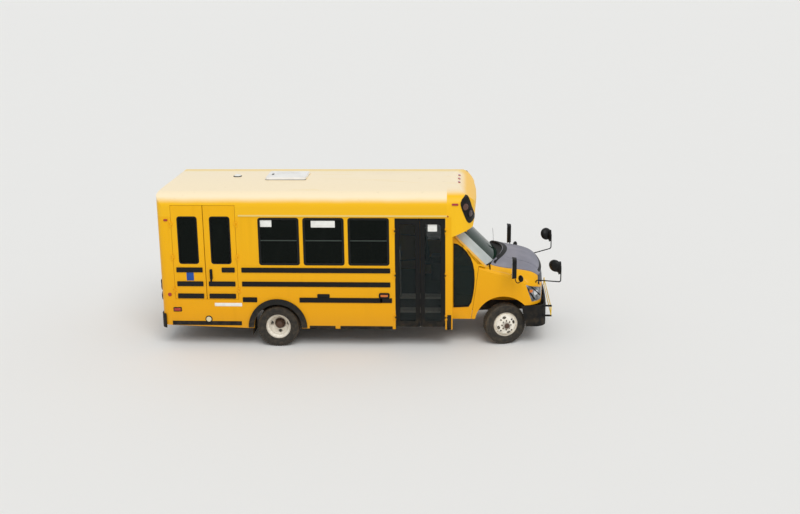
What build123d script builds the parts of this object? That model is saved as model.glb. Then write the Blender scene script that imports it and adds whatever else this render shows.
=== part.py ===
"""School bus: a wide passenger body on a cutaway van chassis.

Millimetres. X points forward, Y to the bus's left, Z up. The origin is on the
ground, midway along the bus between its rear bumper and its mirror arms.
The entrance and the wheelchair-lift doorway are on the right side, at -Y.
"""

import math
import os

from build123d import *

os.makedirs("parts", exist_ok=True)

# Wheels and axles
wheelbase = 4013.0
rear_axle_x = -1450.0
tyre_radius = 370.0
tyre_width = 222.0
rim_flange_radius = 220.0
rim_seat_radius = 203.0
rim_half_width = 85.0
wheel_offset = 131.0
rear_track = 1930.0
front_track = 1763.0
kingpin_half_spacing = 800.0
steer_rest_angle = 15.0
bearing_clearance = 0.05
spindle_radius = 32.0
kingpin_radius = 14.0

# Passenger body
body_width = 2438.0
wall = 45.0
body_rear_x = -3530.0
rear_corner_radius = 130.0
rear_post_length = 130.0
right_wall_front_x = 1640.0
left_wall_front_x = 915.0
cap_seam_x = 1559.0
skirt_bottom = 351.0
skirt_rear_bottom = 400.0
gutter_z = 2393.0
roof_corner_z = 2553.0
roof_corner_radius = 263.0
roof_corner_turn = 83.6
crown_z = 2870.0
roof_rear_radius = 150.0
floor_top = 790.0
floor_thickness = 60.0
cross_sill_height = 50.0
arch_radius = 430.0
flare_width = 95.0

# Passenger windows
window_width = 706.0
window_bottom = 1528.0
window_top = 2369.0
window_pitch = 788.0
first_window_x = -1378.0
window_corner = 40.0
frame_section = 34.0
frame_depth = 30.0
glass_thickness = 6.0
pane_slack = 0.4

# Doors
door_thickness = 38.0
door_gap = 5.0
entrance_rear_x = 654.0
entrance_front_x = 1535.0
entrance_bottom = 371.0
entrance_top = 2372.0
lift_rear_x = -3272.0
lift_front_x = -2131.0
lift_bottom = 884.0
lift_top = 2594.0
hinge_stand_off = 14.0
hinge_barrel_radius = 9.0
hinge_knuckle = 34.0
hinge_slack = 0.3
hinge_strap = 34.0
rear_door_half_width = 450.0
rear_door_bottom = 800.0
rear_door_top = 2330.0

# Cab and nose
cab_width = 2014.0
cab_wall = 42.0
cab_sill_z = 485.0
cab_floor_top = 690.0
cab_top_z = 2036.0
windshield_foot_z = 1440.0
windshield_head_z = 2200.0
front_arch_radius = 510.0
front_arch_z = 395.0
nose_skin = 28.0
hood_rear_x = 2330.0
hood_half_width = 790.0
hood_thickness = 26.0

# Chassis
rail_outer = 432.0
rail_flange = 72.0
rail_gauge = 8.0
rail_height = 180.0
rail_front_x = 3200.0
rail_rear_x = -3470.0
axle_tube_radius = 52.0

# Outer fittings
bumper_front_x = 3345.0
bumper_gauge = 30.0
rail_stand_off = 12.0
overall_half_length = 3555.0
mirror_reach = 1350.0

# Worked out from the driving dimensions
front_axle_x = rear_axle_x + wheelbase
half_body = body_width / 2
half_cab = cab_width / 2
inner_half = half_body - wall
rear_post_x = body_rear_x + rear_post_length
floor_bottom = floor_top - floor_thickness
rail_top = floor_bottom - cross_sill_height
rail_bottom = rail_top - rail_height


def body_section(inset):
    """The body's cross-section, across and up, moved in by inset."""
    side = half_body - inset
    radius = roof_corner_radius - inset
    turn = math.radians(roof_corner_turn)
    centre_y = half_body - roof_corner_radius
    shoulder = (centre_y + radius * math.cos(turn), roof_corner_z + radius * math.sin(turn))
    bend = (centre_y + radius * math.cos(turn / 2), roof_corner_z + radius * math.sin(turn / 2))
    with BuildSketch() as section:
        with BuildLine():
            Line((-side, 0), (side, 0))
            Line((side, 0), (side, roof_corner_z))
            ThreePointArc((side, roof_corner_z), bend, shoulder)
            ThreePointArc(shoulder, (0, crown_z - inset), (-shoulder[0], shoulder[1]))
            ThreePointArc((-shoulder[0], shoulder[1]), (-bend[0], bend[1]), (-side, roof_corner_z))
            Line((-side, roof_corner_z), (-side, 0))
        make_face()
    return section.sketch


def body_envelope(inset, front_x):
    """The passenger body's outer form, moved in by inset, up to front_x."""
    rear_x = body_rear_x + inset
    length = front_x - rear_x
    with BuildPart() as envelope:
        with BuildSketch(Plane.YZ.offset(rear_x)):
            add(body_section(inset))
        extrude(amount=length)
        with BuildSketch(Plane.XY) as plan:
            with Locations((rear_x + length / 2, 0)):
                Rectangle(length, body_width)
            fillet(plan.vertices().group_by(Axis.X)[0], rear_corner_radius - inset)
        extrude(amount=crown_z + 10, mode=Mode.INTERSECT)
        with BuildSketch(Plane.XZ) as side_view:
            with Locations((rear_x + length / 2, (crown_z - inset) / 2)):
                Rectangle(length, crown_z - inset)
            fillet(side_view.vertices().sort_by(Axis.X)[:2].sort_by(Axis.Z)[-1], roof_rear_radius - inset)
        extrude(amount=body_width / 2, both=True, mode=Mode.INTERSECT)
    return envelope.part


def box_between(low, high):
    """A plain block between two opposite corners, for cutting with."""
    size = [high[i] - low[i] for i in range(3)]
    middle = [(high[i] + low[i]) / 2 for i in range(3)]
    return Pos(*middle) * Box(*size, mode=Mode.PRIVATE)


body_shell = body_envelope(0, cap_seam_x) - body_envelope(wall, cap_seam_x)


def knuckle(axis, low_z, length, towards, reach):
    """One hinge knuckle: a barrel about the axis with a strap reaching along X and in to the panel."""
    x, y = axis
    x_sign, y_sign = towards
    strap_x = sorted((x, x + x_sign * reach))
    strap_y = sorted((y, y + y_sign * hinge_stand_off))
    barrel = Pos(x, y, low_z + length / 2) * Cylinder(hinge_barrel_radius, length, mode=Mode.PRIVATE)
    strap = box_between((strap_x[0], strap_y[0], low_z), (strap_x[1], strap_y[1], low_z + length))
    return barrel + strap


def moving_knuckle(axis, low_z, towards, reach):
    """The middle knuckle of a hinge, on the panel that swings."""
    return knuckle(axis, low_z + hinge_slack, hinge_knuckle - 2 * hinge_slack, towards, reach)


def fixed_knuckles(axis, low_z, towards, reach):
    """The two outer knuckles of a hinge, on what carries the panel."""
    lower = knuckle(axis, low_z - hinge_knuckle, hinge_knuckle, towards, reach)
    upper = knuckle(axis, low_z + hinge_knuckle, hinge_knuckle, towards, reach)
    return lower + upper


def rear_knuckle(low_z, length, y_sign):
    """One knuckle of the rear door's hinge, with its strap lying on the rear face."""
    x = body_rear_x - hinge_stand_off
    y = -rear_door_half_width
    strap_y = sorted((y, y + y_sign * hinge_strap))
    barrel = Pos(x, y, low_z + length / 2) * Cylinder(hinge_barrel_radius, length, mode=Mode.PRIVATE)
    return barrel + box_between((x, strap_y[0], low_z), (body_rear_x, strap_y[1], low_z + length))


def finish(builder, label):
    """Name a finished sub-part and write it."""
    builder.part.label = label
    export_step(builder.part, "parts/" + label + ".step")


# Passenger body: side walls
window_centre_z = (window_bottom + window_top) / 2
window_height = window_top - window_bottom
right_window_xs = [first_window_x + window_pitch * i for i in range(3)]
left_window_xs = [first_window_x + window_pitch * i for i in range(-2, 3)]
skirt_break_x = rear_axle_x - arch_radius - 80


def wall_plane(side):
    """The inner face of a side wall: side is -1 on the right and 1 on the left."""
    origin = (0, side * inner_half, 0)
    return Plane(origin=origin, x_dir=(1, 0, 0), z_dir=(0, side, 0))


def wall_point(side, x, z):
    """A point of a side wall in that wall plane's own axes."""
    return (x, -side * z)


lift_centre_x = (lift_rear_x + lift_front_x) / 2
entrance_centre_x = (entrance_rear_x + entrance_front_x) / 2

hinge_y = -half_body - hinge_stand_off
entrance_hinge_zs = (560.0, 1330.0, 2130.0)
lift_hinge_zs = (1040.0, 1640.0, 2240.0)
rear_hinge_axis = (body_rear_x - hinge_stand_off, -rear_door_half_width)
rear_hinge_zs = (960.0, 1480.0, 2130.0)

with BuildPart() as body_side_right:
    with BuildSketch(wall_plane(-1)):
        with BuildLine():
            Polyline(
                wall_point(-1, rear_post_x, skirt_rear_bottom),
                wall_point(-1, skirt_break_x, skirt_bottom),
                wall_point(-1, right_wall_front_x, skirt_bottom),
                wall_point(-1, right_wall_front_x, cab_top_z),
                wall_point(-1, right_wall_front_x, gutter_z),
                wall_point(-1, rear_post_x, gutter_z),
                close=True,
            )
        make_face()
        with Locations(wall_point(-1, rear_axle_x, tyre_radius)):
            Circle(arch_radius, mode=Mode.SUBTRACT)
        with Locations(wall_point(-1, lift_centre_x, (lift_bottom + gutter_z) / 2)):
            Rectangle(lift_front_x - lift_rear_x, gutter_z - lift_bottom, mode=Mode.SUBTRACT)
        with Locations(wall_point(-1, entrance_centre_x, entrance_top / 2)):
            Rectangle(entrance_front_x - entrance_rear_x, entrance_top, mode=Mode.SUBTRACT)
        for window_x in right_window_xs:
            with Locations(wall_point(-1, window_x, window_centre_z)):
                RectangleRounded(window_width, window_height, window_corner, mode=Mode.SUBTRACT)
    extrude(amount=wall)
    for hinge_z in entrance_hinge_zs:
        add(fixed_knuckles((entrance_front_x, hinge_y), hinge_z, (1, 1), hinge_strap))
        add(fixed_knuckles((entrance_rear_x, hinge_y), hinge_z, (-1, 1), hinge_strap))
    for hinge_z in lift_hinge_zs:
        add(fixed_knuckles((lift_front_x, hinge_y), hinge_z, (1, 1), hinge_strap))
        add(fixed_knuckles((lift_rear_x, hinge_y), hinge_z, (-1, 1), hinge_strap))
finish(body_side_right, "body_side_right")

with BuildPart() as body_side_left:
    with BuildSketch(wall_plane(1)):
        with BuildLine():
            Polyline(
                wall_point(1, rear_post_x, skirt_rear_bottom),
                wall_point(1, skirt_break_x, skirt_bottom),
                wall_point(1, left_wall_front_x, skirt_bottom),
                wall_point(1, left_wall_front_x, cab_top_z),
                wall_point(1, right_wall_front_x, cab_top_z),
                wall_point(1, right_wall_front_x, gutter_z),
                wall_point(1, rear_post_x, gutter_z),
                close=True,
            )
        make_face()
        with Locations(wall_point(1, rear_axle_x, tyre_radius)):
            Circle(arch_radius, mode=Mode.SUBTRACT)
        for window_x in left_window_xs:
            with Locations(wall_point(1, window_x, window_centre_z)):
                RectangleRounded(window_width, window_height, window_corner, mode=Mode.SUBTRACT)
    extrude(amount=wall)
finish(body_side_left, "body_side_left")

# Passenger body: rear wall with its rounded corner posts, and the roof
rear_window_z = (window_bottom + window_top) / 2
rear_window_half = 250.0
rear_window_y = 760.0

with BuildPart() as body_rear:
    add(body_shell)
    cut_low = (body_rear_x - 10, -body_width, 0)
    cut_high = (rear_post_x, body_width, skirt_rear_bottom)
    add(box_between(cut_low, cut_high), mode=Mode.SUBTRACT)
    add(box_between((rear_post_x, -body_width, -10), (cap_seam_x + 10, body_width, crown_z + 10)), mode=Mode.SUBTRACT)
    add(box_between((body_rear_x - 10, -body_width, gutter_z), (cap_seam_x, body_width, crown_z + 10)), mode=Mode.SUBTRACT)
    with BuildSketch(Plane.YZ.offset(body_rear_x - 10)):
        with Locations((0, (rear_door_bottom + rear_door_top) / 2)):
            Rectangle(2 * rear_door_half_width, rear_door_top - rear_door_bottom)
        for window_side in (-1, 1):
            with Locations((window_side * rear_window_y, rear_window_z)):
                RectangleRounded(2 * rear_window_half, window_height, window_corner)
    extrude(amount=wall + 20, mode=Mode.SUBTRACT)
    with BuildSketch(Plane.XY.offset(-1)):
        with Locations((body_rear_x + wall + 100, 0)):
            Rectangle(200, 2 * inner_half - 200)
    extrude(amount=skirt_rear_bottom - 1, mode=Mode.SUBTRACT)
    for hinge_z in rear_hinge_zs:
        for low_z in (hinge_z - hinge_knuckle, hinge_z + hinge_knuckle):
            add(rear_knuckle(low_z, hinge_knuckle, -1))
finish(body_rear, "body_rear")

hatch_x = -1370.0
hatch_length = 740.0
hatch_width = 640.0
hatch_gap = 6.0
hatch_rise = 34.0
hatch_axis_x = hatch_x + hatch_length / 2 + 6
hatch_axis_z = crown_z + hatch_rise / 2
hatch_hinge_ys = (-200.0, 200.0)

with BuildPart() as body_roof:
    add(body_shell)
    add(box_between((body_rear_x - 10, -body_width, -10), (cap_seam_x + 10, body_width, gutter_z)), mode=Mode.SUBTRACT)
    with BuildSketch(Plane.XY.offset(gutter_z)):
        with Locations((hatch_x, 0)):
            RectangleRounded(hatch_length, hatch_width, 40)
    extrude(amount=crown_z, mode=Mode.SUBTRACT)
    add(
        box_between(
            (lift_rear_x, -half_body - 10, gutter_z - 1),
            (lift_front_x, -inner_half + 10, lift_top),
        ),
        mode=Mode.SUBTRACT,
    )
    for side in (-1, 1):
        with BuildSketch(Plane.YZ.offset(lift_front_x + 56 if side < 0 else rear_post_x)):
            with Locations((side * (half_body + rail_stand_off / 2), gutter_z + 20)):
                Rectangle(rail_stand_off, 26)
        extrude(amount=cap_seam_x - (lift_front_x + 56 if side < 0 else rear_post_x))
    for hinge_y_middle in hatch_hinge_ys:
        for low_y in (hinge_y_middle - hinge_knuckle * 1.5, hinge_y_middle + hinge_knuckle / 2):
            with BuildSketch(Plane.XZ.offset(-low_y - hinge_knuckle)):
                with Locations((hatch_axis_x, hatch_axis_z)):
                    Circle(hinge_barrel_radius)
                with Locations((hatch_axis_x + hinge_barrel_radius / 2, hatch_axis_z - 16)):
                    Rectangle(hinge_barrel_radius, 32)
            extrude(amount=hinge_knuckle)
finish(body_roof, "body_roof")

# Floor with its cross sills, wheel boxes and entrance step well
step_tops = (420.0, 600.0)
step_nosings = (930.0, 700.0)
step_wall = 12.0
floor_front_x = right_wall_front_x
wheel_box_half = 470.0
wheel_box_inner = 690.0
wheel_box_top = 900.0
sill_pitch = 640.0

with BuildPart() as body_floor:
    with BuildSketch(Plane.XY.offset(floor_bottom)) as floor_plan:
        with Locations(((body_rear_x + wall + floor_front_x) / 2, 0)):
            Rectangle(floor_front_x - body_rear_x - wall, 2 * inner_half)
        fillet(floor_plan.vertices().group_by(Axis.X)[0], rear_corner_radius - wall)
        with Locations((entrance_centre_x, -(step_nosings[1] + half_body) / 2)):
            Rectangle(entrance_front_x - entrance_rear_x, half_body - step_nosings[1], mode=Mode.SUBTRACT)
        with Locations(((left_wall_front_x + floor_front_x) / 2, inner_half)):
            Rectangle(floor_front_x - left_wall_front_x, 2 * (inner_half - half_cab + cab_wall + 120), mode=Mode.SUBTRACT)
        for side in (-1, 1):
            with Locations((rear_axle_x, side * (wheel_box_inner + inner_half) / 2)):
                Rectangle(2 * wheel_box_half, inner_half - wheel_box_inner, mode=Mode.SUBTRACT)
    extrude(amount=floor_thickness)
    for side in (-1, 1):
        box_y = side * (wheel_box_inner + inner_half) / 2
        with BuildSketch(Plane.XZ.offset(-box_y)):
            with BuildLine():
                Polyline(
                    (rear_axle_x - wheel_box_half - step_wall, floor_bottom),
                    (rear_axle_x - wheel_box_half - step_wall, floor_top + 5),
                    (rear_axle_x - wheel_box_half + 118, wheel_box_top),
                    (rear_axle_x + wheel_box_half - 118, wheel_box_top),
                    (rear_axle_x + wheel_box_half + step_wall, floor_top + 5),
                    (rear_axle_x + wheel_box_half + step_wall, floor_bottom),
                    close=True,
                )
            make_face()
        extrude(amount=(inner_half - wheel_box_inner) / 2, both=True)
        with BuildSketch(Plane.XZ.offset(-box_y - side * 6)):
            with BuildLine():
                Polyline(
                    (rear_axle_x - wheel_box_half, floor_bottom - 1),
                    (rear_axle_x - wheel_box_half, floor_top),
                    (rear_axle_x - wheel_box_half + 124, wheel_box_top - step_wall),
                    (rear_axle_x + wheel_box_half - 124, wheel_box_top - step_wall),
                    (rear_axle_x + wheel_box_half, floor_top),
                    (rear_axle_x + wheel_box_half, floor_bottom - 1),
                    close=True,
                )
            make_face()
        extrude(amount=(inner_half - wheel_box_inner) / 2, both=True, mode=Mode.SUBTRACT)
    sill_xs = [rear_post_x + 60 + sill_pitch * i for i in range(8)]
    for sill_x in sill_xs:
        if abs(sill_x - rear_axle_x) > wheel_box_half + 40:
            reach = step_nosings[1] if sill_x > entrance_rear_x - 60 else inner_half
            with BuildSketch(Plane.XY.offset(rail_top)):
                with Locations((sill_x, 0)):
                    Rectangle(60, 2 * reach)
            extrude(amount=cross_sill_height)
    with BuildSketch(Plane.YZ.offset(entrance_rear_x + 2)):
        with BuildLine():
            Polyline(
                (-inner_half, step_tops[0] - step_wall),
                (-inner_half, step_tops[0]),
                (-step_nosings[0], step_tops[0]),
                (-step_nosings[0], step_tops[1]),
                (-step_nosings[1], step_tops[1]),
                (-step_nosings[1], floor_top),
                (-step_nosings[1] + step_wall, floor_top),
                (-step_nosings[1] + step_wall, step_tops[1] - step_wall),
                (-step_nosings[0] + step_wall, step_tops[1] - step_wall),
                (-step_nosings[0] + step_wall, step_tops[0] - step_wall),
                close=True,
            )
        make_face()
    extrude(amount=entrance_front_x - entrance_rear_x - 4)
    for cheek_x in (entrance_rear_x + 2, entrance_front_x - 2 - step_wall):
        with BuildSketch(Plane.YZ.offset(cheek_x)):
            with BuildLine():
                Polyline(
                    (-inner_half, step_tops[0] - step_wall),
                    (-inner_half, floor_top),
                    (-step_nosings[1], floor_top),
                    (-step_nosings[1], step_tops[1] - step_wall),
                    (-step_nosings[0], step_tops[0] - step_wall),
                    close=True,
                )
            make_face()
        extrude(amount=step_wall)
finish(body_floor, "body_floor")

# Front cap over the windshield
cap_nose_x = 2075.0
cap_wall = 30.0
cap_lip_x = 2010.0
cap_lip_z = 2180.0


def cap_form(inset):
    """The cap's outer form, moved in by inset, from the gutter line up and forward.

    The inset form runs a little past the outer one at the back and below, where the cap is open.
    """
    nose = cap_nose_x - inset
    past = min(inset, 4.0)
    back_x = cap_seam_x - past
    open_x = right_wall_front_x - past
    open_z = gutter_z - past
    with BuildPart() as form:
        with BuildSketch(Plane.YZ.offset(back_x)):
            add(body_section(inset))
        extrude(amount=nose + 40 - back_x)
        with BuildSketch(Plane.XZ):
            with BuildLine():
                Polyline((back_x, crown_z - inset), (back_x, open_z), (open_x, open_z))
                Line((open_x, open_z), (open_x, cab_top_z + inset))
                Line((open_x, cab_top_z + inset), (cap_lip_x - inset, cap_lip_z + inset * 0.6))
                ThreePointArc((cap_lip_x - inset, cap_lip_z + inset * 0.6), (2052 - inset, 2390), (nose, 2560 - inset / 2))
                ThreePointArc((nose, 2560 - inset / 2), (1900 - inset / 2, 2760 - inset), (back_x, crown_z - inset))
            make_face()
        extrude(amount=half_body, both=True, mode=Mode.INTERSECT)
        with BuildSketch(Plane.XY):
            with BuildLine():
                Line((back_x, half_body - inset), (back_x, inset - half_body))
                Line((back_x, inset - half_body), (1700, inset - half_body))
                ThreePointArc((1700, inset - half_body), (1960 - inset * 0.7, -1075 + inset * 0.7), (2040 - inset, -760))
                ThreePointArc((2040 - inset, -760), (nose + 8, 0), (2040 - inset, 760))
                ThreePointArc((2040 - inset, 760), (1960 - inset * 0.7, 1075 - inset * 0.7), (1700, half_body - inset))
                Line((1700, half_body - inset), (back_x, half_body - inset))
            make_face()
        extrude(amount=crown_z + 10, mode=Mode.INTERSECT)
    return form.part


cap_outer = cap_form(0)
cap_inner = cap_form(cap_wall)

with BuildPart() as front_cap:
    add(cap_outer)
    add(cap_inner, mode=Mode.SUBTRACT)
    over_cab = box_between((cap_seam_x - 1, -860, cab_top_z - 20), (1900, 860, gutter_z + 40))
    add(over_cab, mode=Mode.SUBTRACT)
finish(front_cap, "front_cap")

# Window frames and fixed glass of the passenger body
frame_tables = [(-1, x) for x in right_window_xs] + [(1, x) for x in left_window_xs]
frame_recess = 4.0
sash_bar_z = window_centre_z + 20

with BuildPart() as window_frames:
    for side, window_x in frame_tables:
        frame_face = Plane(
            origin=(0, side * (half_body + frame_recess - frame_depth), 0), x_dir=(1, 0, 0), z_dir=(0, side, 0)
        )
        with BuildSketch(frame_face):
            with Locations(wall_point(side, window_x, window_centre_z)):
                RectangleRounded(window_width, window_height, window_corner)
                Rectangle(
                    window_width - 2 * frame_section,
                    window_height - 2 * frame_section,
                    mode=Mode.SUBTRACT,
                )
            with Locations(wall_point(side, window_x, sash_bar_z)):
                Rectangle(window_width - 2 * frame_section, frame_section)
        extrude(amount=frame_depth)
    for side in (-1, 1):
        with BuildSketch(Plane.YZ.offset(body_rear_x + wall - frame_depth - 11)):
            with Locations((side * rear_window_y, rear_window_z)):
                RectangleRounded(2 * rear_window_half, window_height, window_corner)
                Rectangle(
                    2 * rear_window_half - 2 * frame_section,
                    window_height - 2 * frame_section,
                    mode=Mode.SUBTRACT,
                )
        extrude(amount=frame_depth)
finish(window_frames, "window_frames")

# Windshield: a ruled sheet between an arc at its foot and one at its head
windshield_foot = {"corner": (2258.8, 882.7), "centre": 2477.5}
windshield_head = {"corner": (1864.0, 831.6), "centre": 1955.7}


def glass_band(level, grow, trim):
    """The windshield's plan at one level: grow moves both faces out, trim shortens its ends."""
    corner_x, corner_y = level["corner"]
    centre = level["centre"]
    end_y = corner_y - trim
    end_x = centre - (centre - corner_x) * (end_y / corner_y) ** 2
    with BuildSketch() as band:
        with BuildLine():
            ThreePointArc((end_x + grow, -end_y), (centre + grow, 0), (end_x + grow, end_y))
            Line((end_x + grow, end_y), (end_x + grow - glass_thickness * 2, end_y))
            ThreePointArc(
                (end_x + grow - glass_thickness * 2, end_y),
                (centre + grow - glass_thickness * 2, 0),
                (end_x + grow - glass_thickness * 2, -end_y),
            )
            Line((end_x + grow - glass_thickness * 2, -end_y), (end_x + grow, -end_y))
        make_face()
    return band.sketch


with BuildPart() as window_glass:
    for side, window_x in frame_tables:
        pane_plane = Plane(
            origin=(0, side * (half_body + frame_recess - frame_depth / 2 - glass_thickness / 2), 0),
            x_dir=(1, 0, 0),
            z_dir=(0, side, 0),
        )
        half_gap = (sash_bar_z - frame_section / 2) - (window_bottom + frame_section)
        upper_gap = (window_top - frame_section) - (sash_bar_z + frame_section / 2)
        with BuildSketch(pane_plane):
            with Locations(wall_point(side, window_x, window_bottom + frame_section + half_gap / 2)):
                Rectangle(window_width - 2 * frame_section - pane_slack, half_gap - pane_slack)
            with Locations(wall_point(side, window_x, window_top - frame_section - upper_gap / 2)):
                Rectangle(window_width - 2 * frame_section - pane_slack, upper_gap - pane_slack)
        extrude(amount=glass_thickness)
    for side in (-1, 1):
        with BuildSketch(Plane.YZ.offset(body_rear_x + wall - 26)):
            with Locations((side * rear_window_y, rear_window_z)):
                Rectangle(
                    2 * rear_window_half - 2 * frame_section - pane_slack,
                    window_height - 2 * frame_section - pane_slack,
                )
        extrude(amount=glass_thickness)
    with BuildSketch(Plane.XY.offset(windshield_foot_z)):
        add(glass_band(windshield_foot, 0, 0))
    with BuildSketch(Plane.XY.offset(windshield_head_z)):
        add(glass_band(windshield_head, 0, 0))
    loft(ruled=True)
    add(cap_outer, mode=Mode.SUBTRACT)
finish(window_glass, "window_glass")

# Rub rails: raised black strips along the body's sides and rear corners
rub_rail_zs = (1428.0, 1172.0, 882.0)
rub_rail_height = 88.0
rail_end_gap = 34.0
# columns: side, start x, end x, index of the rail's height
right_rails = [
    (-1, -2061.0, 570.0, 0),
    (-1, -2061.0, 570.0, 1),
    (-1, -2061.0, -1804.0, 2),
    (-1, -1047.0, 420.0, 2),
]
left_rails = [
    (1, rear_post_x + 2, left_wall_front_x - rail_end_gap, 0),
    (1, rear_post_x + 2, left_wall_front_x - rail_end_gap, 1),
    (1, rear_post_x + 2, -1990.0, 2),
    (1, -910.0, left_wall_front_x - rail_end_gap, 2),
]

with BuildPart() as rub_rails:
    for side, start_x, end_x, row in right_rails + left_rails:
        with BuildSketch(Plane(origin=(0, side * half_body, 0), x_dir=(1, 0, 0), z_dir=(0, side, 0))):
            with Locations(wall_point(side, (start_x + end_x) / 2, rub_rail_zs[row])):
                RectangleRounded(end_x - start_x, rub_rail_height, 10)
        extrude(amount=rail_stand_off)
finish(rub_rails, "rub_rails")

# Cab of the van: its cross-section leans in above the belt
belt_z = 1400.0
cab_lean = 85.0
seam_foot = (1988.0, cab_sill_z)
seam_top = (2117.0, 1462.0)
pillar_foot = (2234.8, windshield_foot_z)
pillar_head_x = 1940.0
door_rear_x = 990.0
door_front_x = 2108.0
door_bottom_z = 505.0
door_top_z = 1990.0
door_free_gap = 8.0


def cab_band(side, rear_x, front_x):
    """One side of the cab as a bent wall of the cab's thickness, from the sill to the top."""
    head_y = half_cab - cab_lean * (windshield_head_z - belt_z) / (cab_top_z - belt_z)
    outer = [(half_cab, cab_sill_z), (half_cab, belt_z), (head_y, windshield_head_z)]
    inner = [(y - cab_wall, z) for y, z in reversed(outer)]
    with BuildPart() as band:
        with BuildSketch(Plane.YZ.offset(rear_x)):
            with BuildLine():
                Polyline(*[(side * y, z) for y, z in outer + inner], close=True)
            make_face()
        extrude(amount=front_x - rear_x)
    return band.part


def side_outline(points):
    """A side-view outline as a block right across the bus."""
    with BuildPart() as block:
        with BuildSketch(Plane.XZ):
            with BuildLine():
                Polyline(*points, close=True)
            make_face()
        extrude(amount=half_body, both=True)
    return block.part


def cab_side_points(rear_x):
    """The cab side's outline from rear_x forward to the fender seam and the windshield pillar."""
    front = [(rear_x, cab_sill_z), seam_foot, seam_top, pillar_foot, (pillar_head_x, cab_top_z)]
    head = [(pillar_head_x - 81, windshield_head_z), (right_wall_front_x + 20, windshield_head_z)]
    if rear_x > right_wall_front_x:
        return front + head
    return front + head + [(right_wall_front_x + 20, cab_top_z), (rear_x, cab_top_z)]


door_outline = [
    (door_rear_x, door_bottom_z),
    (1990.0, door_bottom_z),
    (door_front_x, 1440.0),
    (door_front_x, 1560.0),
    (1880.0, door_top_z),
    (door_rear_x, door_top_z),
]
door_window = [(1040.0, 1425.0), (2060.0, 1425.0), (2060.0, 1530.0), (1855.0, 1935.0), (1040.0, 1935.0)]
quarter_window = [
    (1680.0, 705.0),
    (1880.0, 705.0),
    (1985.0, 1150.0),
    (1990.0, 1330.0),
    (1900.0, 1800.0),
    (1680.0, 1800.0),
]


def grown(points, gap):
    """An outline moved out from its own middle by about gap on each side."""
    middle_x = sum(x for x, z in points) / len(points)
    middle_z = sum(z for x, z in points) / len(points)
    return [(x + math.copysign(gap, x - middle_x), z + math.copysign(gap, z - middle_z)) for x, z in points]


cab_right_wall = cab_band(-1, right_wall_front_x + 20, 2262) & side_outline(cab_side_points(right_wall_front_x + 20))
cab_left_wall = cab_band(1, left_wall_front_x + 20, 2262) & side_outline(cab_side_points(left_wall_front_x + 20))


cowl_corner_x = hood_rear_x - 24
hood_axis = (hood_rear_x + 12.0, 1424.0)
hood_boss_radius = 11.0
hood_pin_radius = 6.0


def pillar_quad(corner_x, corner_y, outer_x, outer_y):
    """The windshield pillar's section at one level, as points."""
    return [(corner_x, corner_y), (outer_x, outer_y), (outer_x - 28, outer_y - 30), (corner_x - 34, corner_y)]


with BuildPart() as cab_shell:
    add(cab_right_wall - side_outline(quarter_window))
    add(cab_left_wall - side_outline(grown(door_outline, door_free_gap)))
    for side in (-1, 1):
        foot = pillar_quad(2254.7, 886.7, 2234.8, 1001.4)
        head = pillar_quad(1862, 835.6, 1840, 898)
        with BuildSketch(Plane.XY.offset(windshield_foot_z)):
            with BuildLine():
                Polyline(*[(x, side * y) for x, y in foot], close=True)
            make_face()
        with BuildSketch(Plane.XY.offset(windshield_head_z)):
            with BuildLine():
                Polyline(*[(x, side * y) for x, y in head], close=True)
            make_face()
        loft(ruled=True)
    with BuildSketch(Plane.XZ):
        with BuildLine():
            Polyline(
                (floor_front_x, rail_top),
                (floor_front_x, floor_top),
                (floor_front_x + 20, floor_top),
                (floor_front_x + 20, cab_floor_top + 10),
                (2070, cab_floor_top + 10),
                (2284, windshield_foot_z - 40),
                (2306, windshield_foot_z - 40),
                (2084, rail_top),
                close=True,
            )
        make_face()
    extrude(amount=half_cab - cab_wall, both=True)
    with BuildSketch(Plane.XY.offset(windshield_foot_z - 40)):
        with BuildLine():
            ThreePointArc((cowl_corner_x, -hood_half_width), (2548, 0), (cowl_corner_x, hood_half_width))
            Polyline(
                (cowl_corner_x, hood_half_width),
                (2290, 960),
                (2190, 960),
                (2190, -960),
                (2290, -960),
                (cowl_corner_x, -hood_half_width),
            )
        make_face()
    extrude(amount=40)
    for side in (-1, 1):
        lug_y = side * (hood_half_width + 12)
        lug_low = (cowl_corner_x - 10, lug_y - 6, hood_axis[1] - hood_boss_radius)
        lug_high = (hood_axis[0], lug_y + 6, hood_axis[1] + hood_boss_radius)
        add(box_between(lug_low, lug_high))
        with BuildSketch(Plane.XZ.offset(-lug_y - 6)):
            with Locations(hood_axis):
                Circle(hood_boss_radius)
        extrude(amount=12)
        with BuildSketch(Plane.XZ.offset(-lug_y)):
            with Locations(hood_axis):
                Circle(hood_pin_radius)
        extrude(amount=side * 36)
    add(cap_outer, mode=Mode.SUBTRACT)
    with BuildSketch(Plane.YZ.offset(right_wall_front_x)):
        with BuildLine():
            Polyline(
                (-half_body, skirt_bottom),
                (-half_body, cab_top_z),
                (-half_cab + cab_lean + cab_wall, cab_top_z),
                (-half_cab + cab_wall, belt_z),
                (-half_cab + cab_wall, skirt_bottom),
                close=True,
            )
        make_face()
    extrude(amount=20)
    with BuildSketch(Plane.YZ.offset(left_wall_front_x)):
        with BuildLine():
            Polyline(
                (half_body, skirt_bottom),
                (half_body, cab_top_z),
                (half_cab - cab_lean - cab_wall, cab_top_z),
                (half_cab - cab_wall, belt_z),
                (half_cab - cab_wall, skirt_bottom),
                close=True,
            )
        make_face()
    extrude(amount=20)
    add(box_between((left_wall_front_x + 20, half_cab - cab_lean - cab_wall, cab_top_z - 20), (right_wall_front_x, half_body, cab_top_z)))
    add(box_between((left_wall_front_x + 20, 845, floor_top - 105), (right_wall_front_x, half_cab - cab_wall, floor_top - 60)))
finish(cab_shell, "cab_shell")

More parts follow.
